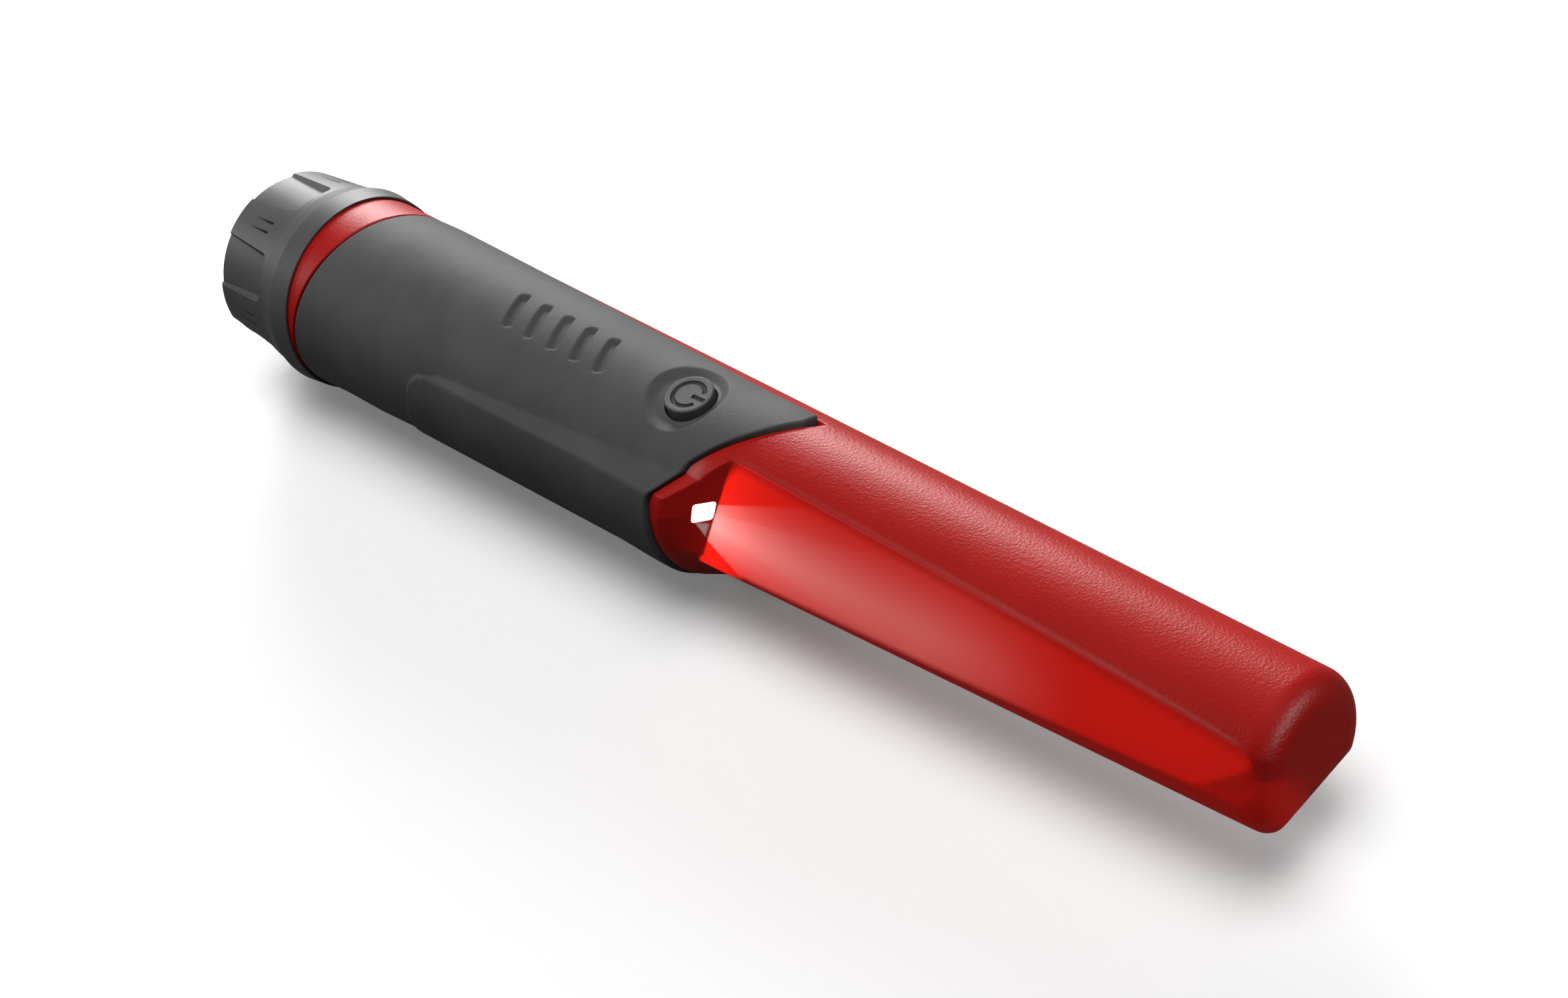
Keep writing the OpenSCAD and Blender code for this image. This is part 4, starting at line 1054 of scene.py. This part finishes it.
def redFinish():
    red = redPlastic
    finish, nodes, links, shader = newFinish("grainedRedPlastic", red["roughness"], 0, red["specular"])
    coords = nodes.new("ShaderNodeTexCoord")
    broad = addNoise(nodes, links, coords, red["toneScale"], 2.0)
    ramp = addRamp(nodes, links, broad.outputs["Fac"], red["tones"])
    links.new(ramp.outputs["Color"], shader.inputs["Base Color"])
    cells = nodes.new("ShaderNodeTexVoronoi")
    cells.feature = "SMOOTH_F1"
    cells.inputs["Scale"].default_value = red["cellScale"]
    cells.inputs["Smoothness"].default_value = red["cellSmoothness"]
    links.new(coords.outputs["Object"], cells.inputs["Vector"])
    pits = addNoise(nodes, links, coords, red["pitScale"], 2.0)
    pitHeight = addMath(nodes, links, "MULTIPLY", pits.outputs["Fac"], red["pitShare"])
    height = addMath(nodes, links, "ADD", cells.outputs["Distance"], pitHeight)
    grain = nodes.new("ShaderNodeAttribute")
    grain.attribute_name = "grain"
    grainShare = addRange(nodes, links, grain.outputs["Fac"], *red["grainRange"])
    height = addMath(nodes, links, "MULTIPLY", height, grainShare)
    addBump(nodes, links, height, shader, red["bumpStrength"], red["bumpDistance"])
    links.new(addRange(nodes, links, pits.outputs["Fac"], *red["roughRange"]), shader.inputs["Roughness"])
    # painted light from the marks, as emission
    light = None
    for name, colour in red["light"].items():
        mark = nodes.new("ShaderNodeAttribute")
        mark.attribute_name = name
        tint = nodes.new("ShaderNodeVectorMath")
        tint.operation = "SCALE"
        tint.inputs[0].default_value = colour
        links.new(mark.outputs["Fac"], tint.inputs["Scale"])
        if light:
            both = nodes.new("ShaderNodeVectorMath")
            links.new(light, both.inputs[0])
            links.new(tint.outputs["Vector"], both.inputs[1])
            light = both.outputs["Vector"]
        else:
            light = tint.outputs["Vector"]
    links.new(light, shader.inputs["Emission Color"])
    shader.inputs["Emission Strength"].default_value = 1.0
    return finish


def lensFinish():
    finish, nodes, links, shader = newFinish("litLens", 0.25)
    coords = nodes.new("ShaderNodeTexCoord")
    broad = addNoise(nodes, links, coords, 700, 2.0)
    ramp = addRamp(nodes, links, broad.outputs["Fac"], ((0.2, (0.93, 0.95, 1.0)), (0.8, (1.0, 1.0, 1.0))))
    links.new(ramp.outputs["Color"], shader.inputs["Base Color"])
    links.new(ramp.outputs["Color"], shader.inputs["Emission Color"])
    shader.inputs["Emission Strength"].default_value = 5.0
    return finish


def windingFinish():
    finish, nodes, links, shader = newFinish("enamelledWinding", 0.35, 0.9)
    coords = nodes.new("ShaderNodeTexCoord")
    turns = nodes.new("ShaderNodeTexWave")
    turns.bands_direction = "X"
    turns.inputs["Scale"].default_value = 800
    turns.inputs["Distortion"].default_value = 0.4
    links.new(coords.outputs["Object"], turns.inputs["Vector"])
    ramp = addRamp(nodes, links, turns.outputs["Fac"],
                   ((0.1, (0.28, 0.09, 0.03)), (0.8, (0.62, 0.26, 0.10))))
    links.new(ramp.outputs["Color"], shader.inputs["Base Color"])
    addBump(nodes, links, turns.outputs["Fac"], shader, 0.6, 0.15)
    return finish


def dress(piece, finish):
    piece.data.materials.clear()
    piece.data.materials.append(finish)


finishes = {
    "red_plastic": redFinish(),
    "grip_rubber": grainedFinish("sandblastedRubber", (0.08, 0.08, 0.081), 0.6, 3200, 0.45, 0.12,
                                 spread=0.1, specular=0.034),
    "button_rubber": grainedFinish("satinKeyRubber", (0.08, 0.08, 0.081), 0.54, 3800, 0.25, 0.08,
                                   spread=0.1, specular=0.045),
    "cap_plastic": grainedFinish("sparkTexturedCap", (0.085, 0.085, 0.086), 0.46, 3600, 0.3, 0.1,
                                 spread=0.1, specular=0.062),
    "seal_rubber": grainedFinish("nitrileSeal", (0.012, 0.012, 0.012), 0.55, 2500, 0.2, 0.08),
    "clear_lens": lensFinish(),
    "led": grainedFinish("emitterResin", (0.9, 0.86, 0.6), 0.35, 1800, 0.1, 0.05),
    "circuit_board": grainedFinish("solderMask", (0.02, 0.12, 0.05), 0.38, 900, 0.25, 0.06, 0.3),
    "wire": grainedFinish("wireInsulation", (0.35, 0.03, 0.03), 0.45, 1500, 0.15, 0.05),
    "nylon": grainedFinish("naturalNylon", (0.62, 0.6, 0.54), 0.5, 1400, 0.15, 0.08, 0.06),
    "steel": grainedFinish("platedSteel", (0.6, 0.6, 0.62), 0.3, 2200, 0.15, 0.04, 0.1, 1.0),
    "chip_plastic": grainedFinish("mouldedBlack", (0.02, 0.02, 0.022), 0.5, 2600, 0.3, 0.06),
    "capacitor_sleeve": grainedFinish("shrinkSleeve", (0.02, 0.03, 0.12), 0.28, 900, 0.1, 0.05),
    "ferrite": grainedFinish("groundFerrite", (0.08, 0.08, 0.085), 0.45, 3000, 0.35, 0.06, 0.2, 0.3),
    "copper_wire": windingFinish(),
    "foam": grainedFinish("closedCellFoam", (0.07, 0.07, 0.075), 0.9, 1200, 0.8, 0.3, 0.25),
    "battery_case": grainedFinish("paintedCase", (0.2, 0.22, 0.25), 0.4, 1200, 0.1, 0.05, 0.08),
    "contact_brass": grainedFinish("platedLeaf", (0.75, 0.55, 0.25), 0.3, 2400, 0.12, 0.04, 0.1, 1.0),
}
print("finishes:", len(finishes))

dress(makeShell(), finishes["red_plastic"])
dress(makeGrip(), finishes["grip_rubber"])
dress(makeKey(), finishes["button_rubber"])
dress(makeLens(), finishes["clear_lens"])
dress(makeCap(), finishes["cap_plastic"])
for part in frame["record"]["subparts"]:
    dress(frame["nodes"][part["node"]], finishes[part["material_slot"]])
print("carried-over nodes dressed")


# floor, light and camera

stage = {
    "floorSize": 12, "floorColour": 0.98, "floorBounce": 0.15, "floorMirror": 0.1, "floorLift": 0.1,
    "worldLight": 0.06, "camTarget": (14.5, 0, 20.15), "camBack": (0.6124, -0.4046, 0.6794),
    "camUp": (-0.3505, 0.6315, 0.6920), "camDistance": 467.5, "lens": 62.8, "sensor": 36,
    "lampAim": (0, 0, 0.02),
    "lamps": (  # place, width, height, power, and False for one that only shows as a highlight
        ("overheadBox", (0.12, 0.1, 2.35), 1.7, 1.7, 44.0, True),
        ("backBox", (-1.2, 1.12, 0.46), 0.85, 0.8, 28.0, True),
        ("frontBox", (-0.98, -0.9, 0.88), 0.3, 0.3, 2.4, True),
        ("backGlint", (-1.2, 1.12, 0.62), 0.9, 0.8, 62.0, False),
        ("frontGlint", (-0.98, -0.9, 0.88), 0.3, 0.3, 8.0, False),
        ("capGlint", (-1.45, -0.46, 0.52), 0.3, 0.3, 12.0, False),
        ("tipGlint", (1.45, 0.38, 0.72), 1.4, 0.3, 110.0, False)),
}


def seenOr(nodes, links, low, high):  # high where seen or looked through, partly where mirrored, else low
    path = nodes.new("ShaderNodeLightPath")
    mirrored = addMath(nodes, links, "MULTIPLY", path.outputs["Is Glossy Ray"], stage["floorMirror"])
    seen = addMath(nodes, links, "MAXIMUM", path.outputs["Is Camera Ray"], mirrored)
    seen = addMath(nodes, links, "MAXIMUM", seen, path.outputs["Is Transmission Ray"])
    return addRange(nodes, links, seen, low, high)


def makeStage():
    clearPick()
    bpy.ops.mesh.primitive_plane_add(size=stage["floorSize"], location=(0, 0, 0))
    floor = bpy.context.object
    floor.name = "paleFloor"
    finish, nodes, links, shader = newFinish("paleFloor", 0.9, 0, 0.0)
    links.new(seenOr(nodes, links, stage["floorBounce"], stage["floorColour"]), shader.inputs["Base Color"])
    path = nodes.new("ShaderNodeLightPath")  # the shadow's far edge fades into white
    lift = addRange(nodes, links, path.outputs["Is Camera Ray"], 0, stage["floorLift"])
    links.new(lift, shader.inputs["Emission Strength"])
    shader.inputs["Emission Color"].default_value = (1, 1, 1, 1)
    dress(floor, finish)
    world = bpy.data.worlds.new("studio")
    scene.world = world
    world.use_nodes = True
    background = world.node_tree.nodes["Background"]
    background.inputs["Strength"].default_value = stage["worldLight"]
    background.inputs["Color"].default_value = (1, 1, 1, 1)
    for name, place, width, height, power, lights in stage["lamps"]:
        clearPick()
        bpy.ops.object.light_add(type="AREA", location=place)
        lamp = bpy.context.object
        lamp.name = name
        lamp.data.shape = "RECTANGLE"
        lamp.data.size, lamp.data.size_y = width, height
        lamp.data.energy = power
        lamp.visible_diffuse = lights
        aim = Vector(stage["lampAim"]) - Vector(place)
        lamp.rotation_mode = "QUATERNION"
        lamp.rotation_quaternion = aim.to_track_quat("-Z", "Y")


def makeCamera():
    clearPick()
    back, up = Vector(stage["camBack"]).normalized(), Vector(stage["camUp"])
    right = up.cross(back).normalized()
    up = back.cross(right)
    bpy.ops.object.camera_add()
    camera = bpy.context.object
    camera.name = "photoCamera"
    camera.data.lens = stage["lens"]
    camera.data.sensor_width = stage["sensor"]
    camera.data.clip_start = 0.02
    turned = Matrix((right, up, back)).transposed().to_4x4()
    spot = (Vector(stage["camTarget"]) + back * stage["camDistance"]) * mm
    camera.matrix_world = Matrix.Translation(spot) @ turned
    scene.camera = camera


makeStage()
makeCamera()
print("stage and camera set")
